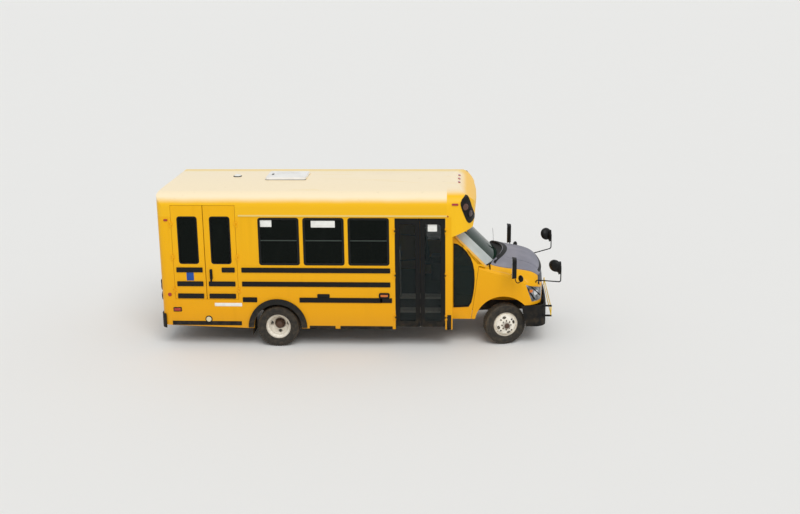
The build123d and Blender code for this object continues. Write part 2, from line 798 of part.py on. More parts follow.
# Driver's door, on the left
driver_axis = (door_front_x + 12, half_cab + hinge_stand_off)
driver_hinge_zs = (880.0, 1280.0)
driver_strap = 108.0

with BuildPart() as driver_door:
    add(cab_band(1, left_wall_front_x + 20, 2262) & side_outline(door_outline))
    add(side_outline(door_window), mode=Mode.SUBTRACT)
    with BuildSketch(Plane.XZ.offset(-half_cab)):
        with Locations((door_rear_x + 120, 1290)):
            RectangleRounded(160, 36, 12)
    extrude(amount=-22)
    for hinge_z in driver_hinge_zs:
        add(moving_knuckle(driver_axis, hinge_z, (-1, -1), driver_strap))
finish(driver_door, "driver_door")

# Nose: fenders, front panel, inner aprons and radiator support
# columns: x, half width, height at the outer shoulder, height beside the hood
nose_sections = [
    (1980.0, 1007.0, 1492.0, 1505.0),
    (2300.0, 1007.0, 1392.0, 1428.0),
    (2650.0, 1007.0, 1300.0, 1346.0),
    (2900.0, 1005.0, 1198.0, 1262.0),
    (3080.0, 975.0, 1118.0, 1176.0),
    (3200.0, 880.0, 1050.0, 1098.0),
    (3288.0, 720.0, 930.0, 985.0),
]
nose_bottom = 742.0
shoulder_radius = 40.0
apron_y = 540.0


def nose_form(inset, bottom):
    """The nose's outer form, moved in by inset, down to bottom."""
    with BuildPart() as form:
        for x, half, shoulder_z, hood_z in nose_sections:
            side = half - inset
            top = shoulder_z - inset
            with BuildSketch(Plane.YZ.offset(x - (inset if x > 3200 else 0))):
                with BuildLine():
                    Polyline(
                        (-side, bottom),
                        (side, bottom),
                        (side, top - shoulder_radius),
                        (side - shoulder_radius, top),
                        (hood_half_width - 110, hood_z - inset),
                        (110 - hood_half_width, hood_z - inset),
                        (shoulder_radius - side, top),
                        (-side, top - shoulder_radius),
                        close=True,
                    )
                make_face()
        loft(ruled=True)
        with BuildSketch(Plane.XY):
            with BuildLine():
                Polyline((2840, half_cab - inset), (1900, half_cab - inset), (1900, inset - half_cab), (2840, inset - half_cab))
                ThreePointArc((2840, inset - half_cab), (3120 - inset * 0.5, inset * 0.9 - 925), (3240 - inset, -690))
                ThreePointArc((3240 - inset, -690), (3288 - inset, 0), (3240 - inset, 690))
                ThreePointArc((3240 - inset, 690), (3120 - inset * 0.5, 925 - inset * 0.9), (2840, half_cab - inset))
            make_face()
        extrude(amount=2000, mode=Mode.INTERSECT)
    return form.part


nose_outer = nose_form(0, 485.0)
nose_inner = nose_form(nose_skin, 400.0)
behind_seam = side_outline(
    [(1900, 300), (seam_foot[0] + 6, 300), (seam_foot[0] + 6, cab_sill_z), (seam_top[0] + 6, 1462), (seam_top[0] + 6, 1600), (1900, 1600)]
)
lamp_outline = [(2950.0, 1118.0), (3062.0, 800.0), (3300.0, 800.0), (3300.0, 985.0), (3150.0, 1060.0)]
lamp_inner_y = 590.0
grille_half = 480.0
grille_bottom = 800.0
grille_top = 1015.0
nose_skin_solid = nose_outer - nose_inner
lamp_zones = [
    side_outline(lamp_outline) & box_between((2900, lamp_inner_y, 700), (3400, 1100, 1200)),
    side_outline(lamp_outline) & box_between((2900, -1100, 700), (3400, -lamp_inner_y, 1200)),
]

with BuildPart() as nose_fenders:
    add(nose_skin_solid - behind_seam)
    behind_cowl = box_between((1900, cab_wall - half_cab, 0), (hood_rear_x, half_cab - cab_wall, 2000))
    add(behind_cowl, mode=Mode.SUBTRACT)
    add(box_between((hood_rear_x - 1, -hood_half_width - 5, 400), (3205, hood_half_width + 5, 2000)), mode=Mode.SUBTRACT)
    with BuildSketch(Plane.XZ):
        with Locations((front_axle_x, front_arch_z)):
            Circle(front_arch_radius)
    extrude(amount=half_cab + 20, both=True, mode=Mode.SUBTRACT)
    add(box_between((2400, -half_cab - 10, 300), (3400, half_cab + 10, nose_bottom)), mode=Mode.SUBTRACT)
    for zone in lamp_zones:
        add(zone, mode=Mode.SUBTRACT)
    add(box_between((3100, -grille_half, grille_bottom), (3400, grille_half, grille_top)), mode=Mode.SUBTRACT)
    for side in (-1, 1):
        with BuildSketch(Plane.XZ.offset(-side * apron_y - 6)):
            with BuildLine():
                Polyline((2310, 700), (2310, 1372), (3160, 1060), (3160, 700), close=True)
            make_face()
        extrude(amount=12)
    add(box_between((3160, -hood_half_width + 40, 700), (3180, hood_half_width - 40, 1040)))
    add(box_between((3180, -hood_half_width + 40, nose_bottom), (3230, hood_half_width - 40, nose_bottom + 20)))
    for hinge_z in driver_hinge_zs:
        add(fixed_knuckles(driver_axis, hinge_z, (1, -1), hinge_strap))
finish(nose_fenders, "nose_fenders")

with BuildPart() as headlamps:
    for zone in lamp_zones:
        add(nose_skin_solid & zone)
finish(headlamps, "headlamps")

grille_bar_count = 5
grille_bar_height = 16.0
grille_pitch = (grille_top - grille_bottom) / (grille_bar_count + 1)
with BuildPart() as grille:
    with BuildSketch(Plane.YZ.offset(3215)):
        with Locations((0, (grille_bottom + grille_top) / 2)):
            Rectangle(2 * grille_half, grille_top - grille_bottom)
            Rectangle(2 * grille_half - 50, grille_top - grille_bottom - 50, mode=Mode.SUBTRACT)
        for i in range(grille_bar_count):
            with Locations((0, grille_bottom + grille_pitch * (i + 1))):
                Rectangle(2 * grille_half - 40, grille_bar_height)
        for bar_y in (-grille_half / 3, grille_half / 3):
            with Locations((bar_y, (grille_bottom + grille_top) / 2)):
                Rectangle(grille_bar_height, grille_top - grille_bottom - 40)
    extrude(amount=60)
    with BuildSketch(Plane.XY):
        with BuildLine():
            Polyline((3100, -700), (3240, -700))
            ThreePointArc((3240, -700), (3286, 0), (3240, 700))
            Polyline((3240, 700), (3100, 700), (3100, -700))
        make_face()
    extrude(amount=2000, mode=Mode.INTERSECT)
finish(grille, "grille")

# Hood: a crowned lid hinged along the cowl
# columns: x, crown height, height at the sides
hood_sections = [(2300.0, 1494.0, 1440.0), (2800.0, 1388.0, 1318.0), (3290.0, 1216.0, 1094.0)]
with BuildPart() as hood:
    for x, crown, edge in hood_sections:
        with BuildSketch(Plane.YZ.offset(x)):
            with BuildLine():
                ThreePointArc((-hood_half_width, edge), (0, crown), (hood_half_width, edge))
                Line((hood_half_width, edge), (hood_half_width, edge - hood_thickness))
                ThreePointArc(
                    (hood_half_width, edge - hood_thickness),
                    (0, crown - hood_thickness),
                    (-hood_half_width, edge - hood_thickness),
                )
                Line((-hood_half_width, edge - hood_thickness), (-hood_half_width, edge))
            make_face()
    loft(ruled=True)
    with BuildSketch(Plane.XY):
        with BuildLine():
            ThreePointArc((hood_rear_x, -hood_half_width), (2560, 0), (hood_rear_x, hood_half_width))
            Line((hood_rear_x, hood_half_width), (3150, 730))
            ThreePointArc((3150, 730), (3190, 700), (3206, 640))
            ThreePointArc((3206, 640), (3276, 0), (3206, -640))
            ThreePointArc((3206, -640), (3190, -700), (3150, -730))
            Line((3150, -730), (hood_rear_x, -hood_half_width))
        make_face()
    extrude(amount=2000, mode=Mode.INTERSECT)
    for side in (-1, 1):
        with BuildSketch(Plane.XZ.offset(-side * (hood_half_width - 1))):
            with Locations(hood_axis):
                Circle(hood_boss_radius)
        extrude(amount=side * 18)
        with BuildSketch(Plane.XZ.offset(-side * (hood_half_width + 1))):
            with Locations(hood_axis):
                Circle(hood_pin_radius + bearing_clearance)
        extrude(amount=side * 30, mode=Mode.SUBTRACT)
finish(hood, "hood")

# Entrance leaves: full-height glazed leaves that swing out from the doorway's sides
entrance_meeting_gap = 12.0
lift_meeting_gap = 12.0
leaf_stile = 62.0


def side_panel(rear_x, front_x, low_z, high_z, corner):
    """A flat door panel in the right side wall, its outer face flush with the body."""
    with BuildPart() as panel:
        with BuildSketch(Plane.XZ.offset(half_body - door_thickness)):
            with Locations(((rear_x + front_x) / 2, (low_z + high_z) / 2)):
                RectangleRounded(front_x - rear_x, high_z - low_z, corner)
        extrude(amount=door_thickness)
    return panel.part


def opening_block(rear_x, front_x, low_z, high_z, corner):
    """A round-cornered block right through the right side wall, for windows."""
    with BuildPart() as block:
        with BuildSketch(Plane.XZ.offset(half_body - door_thickness - 20)):
            with Locations(((rear_x + front_x) / 2, (low_z + high_z) / 2)):
                RectangleRounded(front_x - rear_x, high_z - low_z, corner)
        extrude(amount=door_thickness + 60)
    return block.part


# columns: name, rear edge, front edge, hinge x, side the hinge strap reaches to
entrance_leaves = [
    ("entrance_leaf_rear", entrance_rear_x + door_gap, entrance_centre_x - entrance_meeting_gap / 2, entrance_rear_x, 1),
    ("entrance_leaf_front", entrance_centre_x + entrance_meeting_gap / 2, entrance_front_x - door_gap, entrance_front_x, -1),
]
leaf_bottom = entrance_bottom + 30.0
leaf_top = entrance_top - door_gap
for label, leaf_rear, leaf_front, hinge_x, strap_side in entrance_leaves:
    with BuildPart() as entrance_leaf:
        add(side_panel(leaf_rear, leaf_front, leaf_bottom, leaf_top, 12))
        add(
            opening_block(leaf_rear + leaf_stile, leaf_front - leaf_stile, leaf_bottom + 90, leaf_top - 90, 40),
            mode=Mode.SUBTRACT,
        )
        for hinge_z in entrance_hinge_zs:
            add(moving_knuckle((hinge_x, hinge_y), hinge_z, (strap_side, 1), hinge_strap))
    finish(entrance_leaf, label)

# Wheelchair-lift doors, with a window each and their share of the rub rails
# columns: name, rear edge, front edge, hinge x, strap side, window rear, window front, rails as start, end, row
lift_leaves = [
    (
        "lift_door_rear",
        lift_rear_x + door_gap,
        lift_centre_x - lift_meeting_gap / 2,
        lift_rear_x,
        1,
        -3156.0,
        -2818.0,
        [(-3222.0, -2753.0, 0), (-3222.0, -2753.0, 1), (-3222.0, -2753.0, 2)],
    ),
    (
        "lift_door_front",
        lift_centre_x + lift_meeting_gap / 2,
        lift_front_x - door_gap,
        lift_front_x,
        -1,
        -2581.0,
        -2239.0,
        [(-2412.0, -2180.0, 0), (-2655.0, -2180.0, 1), (-2655.0, -2180.0, 2)],
    ),
]
lift_window_bottom = 1546.0
lift_window_top = 2386.0
for label, leaf_rear, leaf_front, hinge_x, strap_side, window_rear, window_front, rails in lift_leaves:
    with BuildPart() as lift_leaf:
        add(side_panel(leaf_rear, leaf_front, lift_bottom + door_gap, lift_top - door_gap, 12))
        add(
            opening_block(window_rear, window_front, lift_window_bottom, lift_window_top, window_corner),
            mode=Mode.SUBTRACT,
        )
        for start_x, end_x, row in rails:
            with BuildSketch(Plane.XZ.offset(half_body)):
                with Locations(((start_x + end_x) / 2, rub_rail_zs[row] + (64 if row == 2 else 0))):
                    RectangleRounded(end_x - start_x, rub_rail_height, 10)
            extrude(amount=rail_stand_off)
        for hinge_z in lift_hinge_zs:
            add(moving_knuckle((hinge_x, hinge_y), hinge_z, (strap_side, 1), hinge_strap))
    finish(lift_leaf, label)

# Rear emergency door
with BuildPart() as rear_door:
    with BuildSketch(Plane.YZ.offset(body_rear_x)):
        with Locations((0, (rear_door_bottom + rear_door_top) / 2)):
            RectangleRounded(
                2 * (rear_door_half_width - door_free_gap),
                rear_door_top - rear_door_bottom - 2 * door_gap,
                14,
            )
        with Locations((0, rear_window_z)):
            RectangleRounded(620, 560, window_corner, mode=Mode.SUBTRACT)
        with Locations((0, 1080)):
            RectangleRounded(620, 300, window_corner, mode=Mode.SUBTRACT)
    extrude(amount=door_thickness)
    for hinge_z in rear_hinge_zs:
        add(rear_knuckle(hinge_z + hinge_slack, hinge_knuckle - 2 * hinge_slack, 1))
    with BuildSketch(Plane.YZ.offset(body_rear_x)):
        with Locations((rear_door_half_width - 90, 1310)):
            RectangleRounded(70, 150, 12)
    extrude(amount=-24)
finish(rear_door, "rear_door")

# Roof hatch lid, hinged along its front edge
with BuildPart() as roof_hatch:
    with BuildSketch(Plane.XY.offset(crown_z + 5)):
        with Locations((hatch_x, 0)):
            RectangleRounded(hatch_length, hatch_width, 50)
    extrude(amount=hatch_rise, taper=20)
    with BuildSketch(Plane.XY.offset(crown_z - wall + 5)):
        with Locations((hatch_x, 0)):
            RectangleRounded(hatch_length - 2 * hatch_gap - 30, hatch_width - 2 * hatch_gap - 30, 30)
            RectangleRounded(hatch_length - 2 * hatch_gap - 80, hatch_width - 2 * hatch_gap - 80, 20, mode=Mode.SUBTRACT)
    extrude(amount=wall)
    for hinge_y_middle in hatch_hinge_ys:
        with BuildSketch(Plane.XZ.offset(-hinge_y_middle - hinge_knuckle / 2 + hinge_slack)):
            with Locations((hatch_axis_x, hatch_axis_z)):
                Circle(hinge_barrel_radius)
            with Locations((hatch_axis_x - 12, hatch_axis_z)):
                Rectangle(24, 14)
        extrude(amount=hinge_knuckle - 2 * hinge_slack)
finish(roof_hatch, "roof_hatch")

# Chassis frame: two channel rails, crossmembers, and bumper brackets with tow eyes
tow_eye_radius = 22.0
tow_eye_thickness = 20.0
bumper_seat_x = bumper_front_x - bumper_gauge - 8.5
rear_eye_x = rail_rear_x + 50.0
front_eye_x = rail_front_x - 50.0
tow_eye_z = 322.0
crossmember_xs = (-3300.0, -2060.0, -820.0, 300.0, 1250.0, 3060.0)
with BuildPart() as chassis_frame:
    for side in (-1, 1):
        with BuildSketch(Plane.YZ.offset(rail_rear_x)):
            with BuildLine():
                outer = side * rail_outer
                inner = side * (rail_outer - rail_flange)
                web = side * (rail_outer - rail_gauge)
                Polyline(
                    (outer, rail_bottom),
                    (outer, rail_top),
                    (inner, rail_top),
                    (inner, rail_top - rail_gauge),
                    (web, rail_top - rail_gauge),
                    (web, rail_bottom + rail_gauge),
                    (inner, rail_bottom + rail_gauge),
                    (inner, rail_bottom),
                    close=True,
                )
            make_face()
        extrude(amount=rail_front_x - rail_rear_x)
        for eye_x in (rear_eye_x, front_eye_x):
            eye_y = side * (rail_outer - rail_gauge - tow_eye_thickness / 2)
            with BuildSketch(Plane.XZ.offset(-eye_y - tow_eye_thickness / 2)):
                with Locations((eye_x, tow_eye_z)):
                    Circle(2 * tow_eye_radius)
                with Locations((eye_x, (tow_eye_z + rail_bottom + rail_gauge) / 2)):
                    Rectangle(4 * tow_eye_radius, rail_bottom + rail_gauge - tow_eye_z)
                with Locations((eye_x, tow_eye_z)):
                    Circle(tow_eye_radius, mode=Mode.SUBTRACT)
            extrude(amount=tow_eye_thickness)
        with BuildSketch(Plane.XY.offset(rail_bottom + 20)):
            with Locations(((rail_front_x + bumper_seat_x) / 2, side * (rail_outer - rail_flange / 2))):
                Rectangle(bumper_seat_x - rail_front_x, rail_flange)
        extrude(amount=rail_height - 40)
finish(chassis_frame, "chassis_frame")

with BuildPart() as cross_members:
    for member_x in crossmember_xs:
        with BuildSketch(Plane.XY.offset(rail_top - 90)):
            with Locations((member_x, 0)):
                Rectangle(70, 2 * (rail_outer - rail_gauge))
        extrude(amount=90 - rail_gauge)
finish(cross_members, "cross_members")

# Rear axle: tube, differential, spindles, spring packs and their hangers
axle_end_y = rear_track / 2 - 120
spring_y = rail_outer + 46.0
spring_half_length = 640.0
spring_width = 64.0
with BuildPart() as rear_axle:
    with BuildSketch(Plane.XZ.offset(-axle_end_y)):
        with Locations((rear_axle_x, tyre_radius)):
            Circle(axle_tube_radius)
    extrude(amount=2 * axle_end_y)
    with BuildSketch(Plane.XZ.offset(-rear_track / 2 - 70)):
        with Locations((rear_axle_x, tyre_radius)):
            Circle(spindle_radius)
    extrude(amount=rear_track + 140)
    with Locations((rear_axle_x, 0, tyre_radius)):
        Sphere(148)
        with Locations((150, 0, 0)):
            Cylinder(70, 140, rotation=(0, 90, 0))
    for side in (-1, 1):
        with BuildSketch(Plane.XZ.offset(-side * spring_y - spring_width / 2)):
            with BuildLine():
                ThreePointArc(
                    (rear_axle_x - spring_half_length, tyre_radius + 150),
                    (rear_axle_x, tyre_radius + axle_tube_radius),
                    (rear_axle_x + spring_half_length, tyre_radius + 150),
                )
                Line((rear_axle_x + spring_half_length, tyre_radius + 150), (rear_axle_x + spring_half_length, tyre_radius + 170))
                ThreePointArc(
                    (rear_axle_x + spring_half_length, tyre_radius + 170),
                    (rear_axle_x, tyre_radius + axle_tube_radius + 56),
                    (rear_axle_x - spring_half_length, tyre_radius + 170),
                )
                Line((rear_axle_x - spring_half_length, tyre_radius + 170), (rear_axle_x - spring_half_length, tyre_radius + 150))
            make_face()
        extrude(amount=spring_width)
        for hanger_x in (rear_axle_x - spring_half_length, rear_axle_x + spring_half_length):
            with BuildSketch(Plane.XY.offset(tyre_radius + 140)):
                with Locations((hanger_x, side * (rail_outer + spring_width / 2 + 14))):
                    Rectangle(70, spring_width + 28)
            extrude(amount=rail_top - tyre_radius - 160)
        with BuildSketch(Plane.XY.offset(tyre_radius - 60)):
            with Locations((rear_axle_x, side * spring_y)):
                Rectangle(120, spring_width + 20)
        extrude(amount=170)
finish(rear_axle, "rear_axle")

# Front axle: twin I-beams, each from a pivot under the opposite rail out to its kingpin
beam_height = 76.0
beam_width = 52.0
beam_z = 330.0
with BuildPart() as front_axle:
    for side in (-1, 1):
        pivot_y = -side * 300.0
        beam_x = front_axle_x + side * 44
        with BuildSketch(Plane.YZ.offset(beam_x - beam_width / 2)):
            with BuildLine():
                Polyline(
                    (pivot_y, beam_z),
                    (pivot_y, beam_z + beam_height),
                    (side * 480, beam_z + beam_height - 30),
                    (side * 690, tyre_radius + beam_height / 2),
                    (side * (kingpin_half_spacing - 62), tyre_radius + beam_height / 2),
                    (side * (kingpin_half_spacing - 62), tyre_radius - beam_height / 2),
                    (side * 690, tyre_radius - beam_height / 2),
                    (side * 480, beam_z - 30),
                    close=True,
                )
            make_face()
        extrude(amount=beam_width)
        for offset_x in (-beam_width / 2, beam_width / 2 - 16):
            with BuildSketch(Plane.YZ.offset(beam_x + offset_x)):
                with BuildLine():
                    Polyline(
                        (pivot_y + side * 60, beam_z + 18),
                        (pivot_y + side * 60, beam_z + beam_height - 20),
                        (side * 470, beam_z + beam_height - 48),
                        (side * 660, tyre_radius + beam_height / 2 - 20),
                        (side * 660, tyre_radius - beam_height / 2 + 20),
                        (side * 480, beam_z - 12),
                        close=True,
                    )
                make_face()
            extrude(amount=16, mode=Mode.SUBTRACT)
        with BuildSketch(Plane.XY.offset(tyre_radius - beam_height / 2)):
            with Locations((front_axle_x, side * kingpin_half_spacing)):
                Circle(30)
            with Locations((front_axle_x, side * (kingpin_half_spacing - 45))):
                Rectangle(60, 90)
            with Locations(((front_axle_x + beam_x) / 2, side * (kingpin_half_spacing - 85))):
                Rectangle(abs(beam_x - front_axle_x) + beam_width, 46)
        extrude(amount=beam_height)
        with BuildSketch(Plane.XY.offset(tyre_radius - beam_height / 2 - 1)):
            with Locations((front_axle_x, side * kingpin_half_spacing)):
                Circle(kingpin_radius + bearing_clearance)
        extrude(amount=beam_height + 2, mode=Mode.SUBTRACT)
        with BuildSketch(Plane.XY.offset(beam_z + beam_height - 16)):
            with Locations((beam_x, pivot_y - side * 25)):
                Rectangle(80, 110)
        extrude(amount=rail_bottom - beam_z - beam_height + 16)
        with BuildSketch(Plane.XY.offset(beam_z + 20)):
            with Locations((front_axle_x, side * 470)):
                Circle(62)
        extrude(amount=rail_bottom - beam_z - 20)
        with BuildSketch(Plane.XY.offset(rail_bottom)):
            with Locations((front_axle_x, side * (rail_outer + 44))):
                Rectangle(180, 88)
        extrude(amount=14)
finish(front_axle, "front_axle")

# Engine and gearbox as plain masses at their real place, the drive shaft, and the exhaust they carry
engine_rear_x = 2330.0
engine_front_x = 3000.0
gearbox_rear_x = 1560.0
shaft_z = 470.0
exhaust_y = -250.0
with BuildPart() as power_unit:
    add(box_between((engine_rear_x, -260, 440), (engine_front_x, 260, 1080)))
    add(box_between((gearbox_rear_x, -150, 390), (engine_rear_x, 150, 640)))
    add(box_between((2250, -rail_outer + rail_gauge, 560), (2330, rail_outer - rail_gauge, 600)))
    shaft_rear = Vector(rear_axle_x + 221.5, 0, tyre_radius)
    shaft_front = Vector(gearbox_rear_x, 0, shaft_z)
    with BuildSketch(Plane(origin=shaft_rear, z_dir=shaft_front - shaft_rear)):
        Circle(40)
    extrude(amount=(shaft_front - shaft_rear).length)
    with BuildLine() as exhaust_path:
        Polyline((2400, -240, 450), (1900, -300, 440), (-300, -300, 440))
    with BuildSketch(Plane(origin=(2400, -240, 450), z_dir=Vector(-500, -60, -10))):
        Circle(32)
    sweep(path=exhaust_path.line, transition=Transition.RIGHT)
    with BuildSketch(Plane.YZ.offset(-1000)):
        with Locations((-280, 440)):
            RectangleRounded(150, 110, 45)
    extrude(amount=760)
finish(power_unit, "power_unit")

# Fuel tank, hung behind the rear axle
with BuildPart() as fuel_tank:
    with BuildSketch(Plane.XZ.offset(-330)):
        with BuildLine():
            Polyline((-3180, 590), (-2150, 590), (-2150, 450), (-2230, 370), (-3100, 370), (-3180, 450), close=True)
        make_face()
    extrude(amount=660)
    fillet(fuel_tank.edges().filter_by(Axis.Y), 30)
    for hanger_x in (-2950.0, -2380.0):
        with BuildSketch(Plane.XY.offset(585)):
            with Locations((hanger_x, 0)):
                Rectangle(60, 2 * (rail_outer - rail_gauge - pane_slack))
        extrude(amount=24)
finish(fuel_tank, "fuel_tank")

# Wheels: the pressed steel rim's section, as radius and distance outward from the rim's middle
rim_barrel = [
    (rim_flange_radius, -rim_half_width),
    (rim_flange_radius, 7 - rim_half_width),
    (rim_seat_radius, 11 - rim_half_width),
    (rim_seat_radius, -46.0),
    (186.0, -30.0),
    (186.0, 30.0),
    (rim_seat_radius, 46.0),
    (rim_seat_radius, rim_half_width - 11),
    (rim_flange_radius, rim_half_width - 7),
    (rim_flange_radius, rim_half_width),
    (212.0, rim_half_width),
    (195.0, 70.0),
    (195.0, 46.0),
    (178.0, 30.0),
    (178.0, -30.0),
    (195.0, -46.0),
    (195.0, -70.0),
    (212.0, -rim_half_width),
]
hub_radius = 62.0
rim_disc = [
    (196.0, 48.0),
    (155.0, wheel_offset - 20),
    (110.0, wheel_offset - 8),
    (hub_radius - 1, wheel_offset - 8),
    (hub_radius - 1, wheel_offset),
    (112.0, wheel_offset),
    (160.0, wheel_offset - 12),
    (196.0, 62.0),
]
hub_bore = spindle_radius + bearing_clearance
front_hub = [
    (hub_bore, -20.0),
    (hub_radius, -20.0),
    (hub_radius, wheel_offset - 24),
    (105.0, wheel_offset - 24),
    (105.0, wheel_offset - 8),
    (hub_radius, wheel_offset - 8),
    (hub_radius, wheel_offset + 40),
    (50.0, wheel_offset + 48),
    (0.0, wheel_offset + 48),
    (0.0, wheel_offset + 20),
    (hub_bore, wheel_offset + 20),
]
front_rotor = [(hub_radius - 1, 0.0), (155.0, 0.0), (155.0, 26.0), (hub_radius - 1, 26.0)]
rear_hub = [
    (hub_bore, -100.0),
    (hub_radius, -100.0),
    (hub_radius, -20.0),
    (105.0, -20.0),
    (105.0, -8.0),
    (hub_radius, -8.0),
    (hub_radius, 110.0),
    (50.0, 118.0),
    (0.0, 118.0),
    (0.0, 75.0),
    (hub_bore, 75.0),
]
rear_drum = [(hub_radius - 1, -95.0), (165.0, -95.0), (165.0, -21.0), (hub_radius - 1, -21.0)]
hand_hole_radius = 18.0
hand_hole_circle = 140.0


def turned(outlines):
    """A turned piece about Z from closed outlines of radius and height, joined together."""
    with BuildPart() as piece:
        for outline in outlines:
            with BuildSketch(Plane.XZ):
                with BuildLine():
                    Polyline(*outline, close=True)
                make_face()
            revolve(axis=Axis.Z)
    return piece.part


def flipped(outline, shift):
    """A section turned end for end and shifted along the axle."""
    return [(radius, shift - height) for radius, height in outline]


def shifted(outline, shift):
    """A section shifted along the axle."""
    return [(radius, height + shift) for radius, height in outline]


def tyre_ring():
    """One tyre about Z: tread, rounded side walls and beads just clear of the rim's seats."""
    bead = rim_seat_radius + 0.4
    flank = rim_half_width - 8
    half_tread = 84.0
    with BuildPart() as ring:
        with BuildSketch(Plane.XZ):
            with BuildLine():
                Polyline((bead, -flank + 5), (bead, flank - 5), (rim_flange_radius + 2, flank))
                ThreePointArc((rim_flange_radius + 2, flank), (288, tyre_width / 2), (350, 102))
                Polyline((350, 102), (tyre_radius, half_tread), (tyre_radius, -half_tread), (350, -102))
                ThreePointArc((350, -102), (288, -tyre_width / 2), (rim_flange_radius + 2, -flank))
                Line((rim_flange_radius + 2, -flank), (bead, -flank + 5))
            make_face()
        revolve(axis=Axis.Z)
    return ring.part


hand_holes = [
    Pos(hand_hole_circle * math.cos(a), hand_hole_circle * math.sin(a), wheel_offset - 20) * Cylinder(hand_hole_radius, 90)
    for a in [math.radians(45 + 90 * i) for i in range(4)]
]
front_rim = turned([rim_barrel, rim_disc, front_hub, front_rotor])
rear_rims = turned(
    [
        flipped(rim_barrel, wheel_offset),
        flipped(rim_disc, wheel_offset),
        shifted(rim_barrel, -wheel_offset),
        shifted(rim_disc, -wheel_offset),
        rear_hub,
        rear_drum,
    ]
)
one_tyre = tyre_ring()


def axle_location(centre, side, angle):
    """Where a wheel sits: its own Z points outward along the axle, turned by the steering angle."""
    turn = math.radians(angle)
    outward = (-side * math.sin(turn), side * math.cos(turn), 0)
    forward = (math.cos(turn), math.sin(turn), 0)
    return Plane(origin=centre, x_dir=forward, z_dir=outward).location


def steered_point(side, reach):
    """A point at hub height, reach outboard of the kingpin, with the wheels at their rest angle."""
    turn = math.radians(steer_rest_angle)
    return (
        front_axle_x - side * reach * math.sin(turn),
        side * kingpin_half_spacing + side * reach * math.cos(turn),
        tyre_radius,
    )


front_scrub = front_track / 2 - kingpin_half_spacing
yoke_half = beam_height / 2
web_setback = 27.5
for side, word in ((-1, "right"), (1, "left")):
    with BuildPart() as rear_wheels:
        with Locations(axle_location((rear_axle_x, side * rear_track / 2, tyre_radius), side, 0)):
            add(rear_rims)
    finish(rear_wheels, "rear_wheels_" + word)
    with BuildPart() as rear_tyres:
        for offset in (-wheel_offset, wheel_offset):
            with Locations(axle_location((rear_axle_x, side * (rear_track / 2 + offset), tyre_radius), side, 0)):
                add(one_tyre)
    finish(rear_tyres, "rear_tyres_" + word)
    wheel_place = axle_location(steered_point(side, front_scrub), side, steer_rest_angle)
    with BuildPart() as front_wheel:
        with Locations(wheel_place):
            add(front_rim)
            add(hand_holes, mode=Mode.SUBTRACT)
    finish(front_wheel, "front_wheel_" + word)
    with BuildPart() as front_tyre:
        with Locations(wheel_place):
            add(one_tyre)
    finish(front_tyre, "front_tyre_" + word)
    with BuildPart() as upright:
        with BuildSketch(Plane.XZ.offset(-front_scrub + web_setback)):
            Circle(78)
        extrude(amount=20)
        with BuildSketch(Plane.XZ.offset(-front_scrub + web_setback)):
            Circle(spindle_radius)
        extrude(amount=-(wheel_offset + 18 + web_setback))
        for low_z, high_z in ((yoke_half + 0.5, yoke_half + 24), (-yoke_half - 24, -yoke_half - 0.5)):
            with BuildSketch(Plane.XY.offset(low_z)):
                Circle(28)
                with Locations((0, (front_scrub - 40) / 2)):
                    Rectangle(56, front_scrub - 40)
            extrude(amount=high_z - low_z)
        with BuildSketch(Plane.XY.offset(-yoke_half - 24)):
            Circle(kingpin_radius)
        extrude(amount=beam_height + 48)
        with BuildSketch(Plane.XY.offset(-yoke_half - 24)):
            with Locations((-75, 14)):
                Rectangle(150, 26)
        extrude(amount=18)
    if side < 0:
        upright_part = mirror(upright.part, about=Plane.XZ)
    else:
        upright_part = upright.part
    with BuildPart() as knuckle_piece:
        with Locations(Location((front_axle_x, side * kingpin_half_spacing, tyre_radius), (0, 0, steer_rest_angle))):
            add(upright_part)
    finish(knuckle_piece, "knuckle_" + word)

# Bumpers
front_bumper_bottom = 350.0
front_bumper_top = 735.0
rear_bumper_bottom = 348.0
rear_bumper_top = 604.0


def bumper_plan(inset):
    """The front bumper's plan, moved in by inset, closed across the back."""
    with BuildSketch() as plan:
        with BuildLine():
            Polyline((2800, inset - 1000), (3120, inset - 1000))
            ThreePointArc((3120, inset - 1000), (3270 - inset * 0.7, inset * 0.7 - 930), (bumper_front_x - 25 - inset, -760))
            ThreePointArc((bumper_front_x - 25 - inset, -760), (bumper_front_x - inset, 0), (bumper_front_x - 25 - inset, 760))
            ThreePointArc((bumper_front_x - 25 - inset, 760), (3270 - inset * 0.7, 930 - inset * 0.7), (3120, 1000 - inset))
            Polyline((3120, 1000 - inset), (2800, 1000 - inset), (2800, inset - 1000))
        make_face()
    return plan.sketch


with BuildPart() as bumpers:
    with BuildSketch(Plane.XY.offset(front_bumper_bottom)):
        add(bumper_plan(0))
        add(bumper_plan(bumper_gauge), mode=Mode.SUBTRACT)
    extrude(amount=front_bumper_top - front_bumper_bottom)
    add(
        side_outline([(2700, 300), (2978, 300), (2878, front_bumper_top + 10), (2700, front_bumper_top + 10)]),
        mode=Mode.SUBTRACT,
    )
    with BuildSketch(Plane.XY.offset(rear_bumper_bottom)) as rear_plan:
        with Locations((body_rear_x + 975, 0)):
            Rectangle(2000, body_width + 50)
        fillet(rear_plan.vertices().group_by(Axis.X)[0], rear_corner_radius + 25)
        with Locations((body_rear_x + 1000, 0)):
            RectangleRounded(2000, body_width, rear_corner_radius, mode=Mode.SUBTRACT)
        with Locations((body_rear_x + 1070, 0)):
            Rectangle(2000, body_width + 100, mode=Mode.SUBTRACT)
    extrude(amount=rear_bumper_top - rear_bumper_bottom)
finish(bumpers, "bumpers")

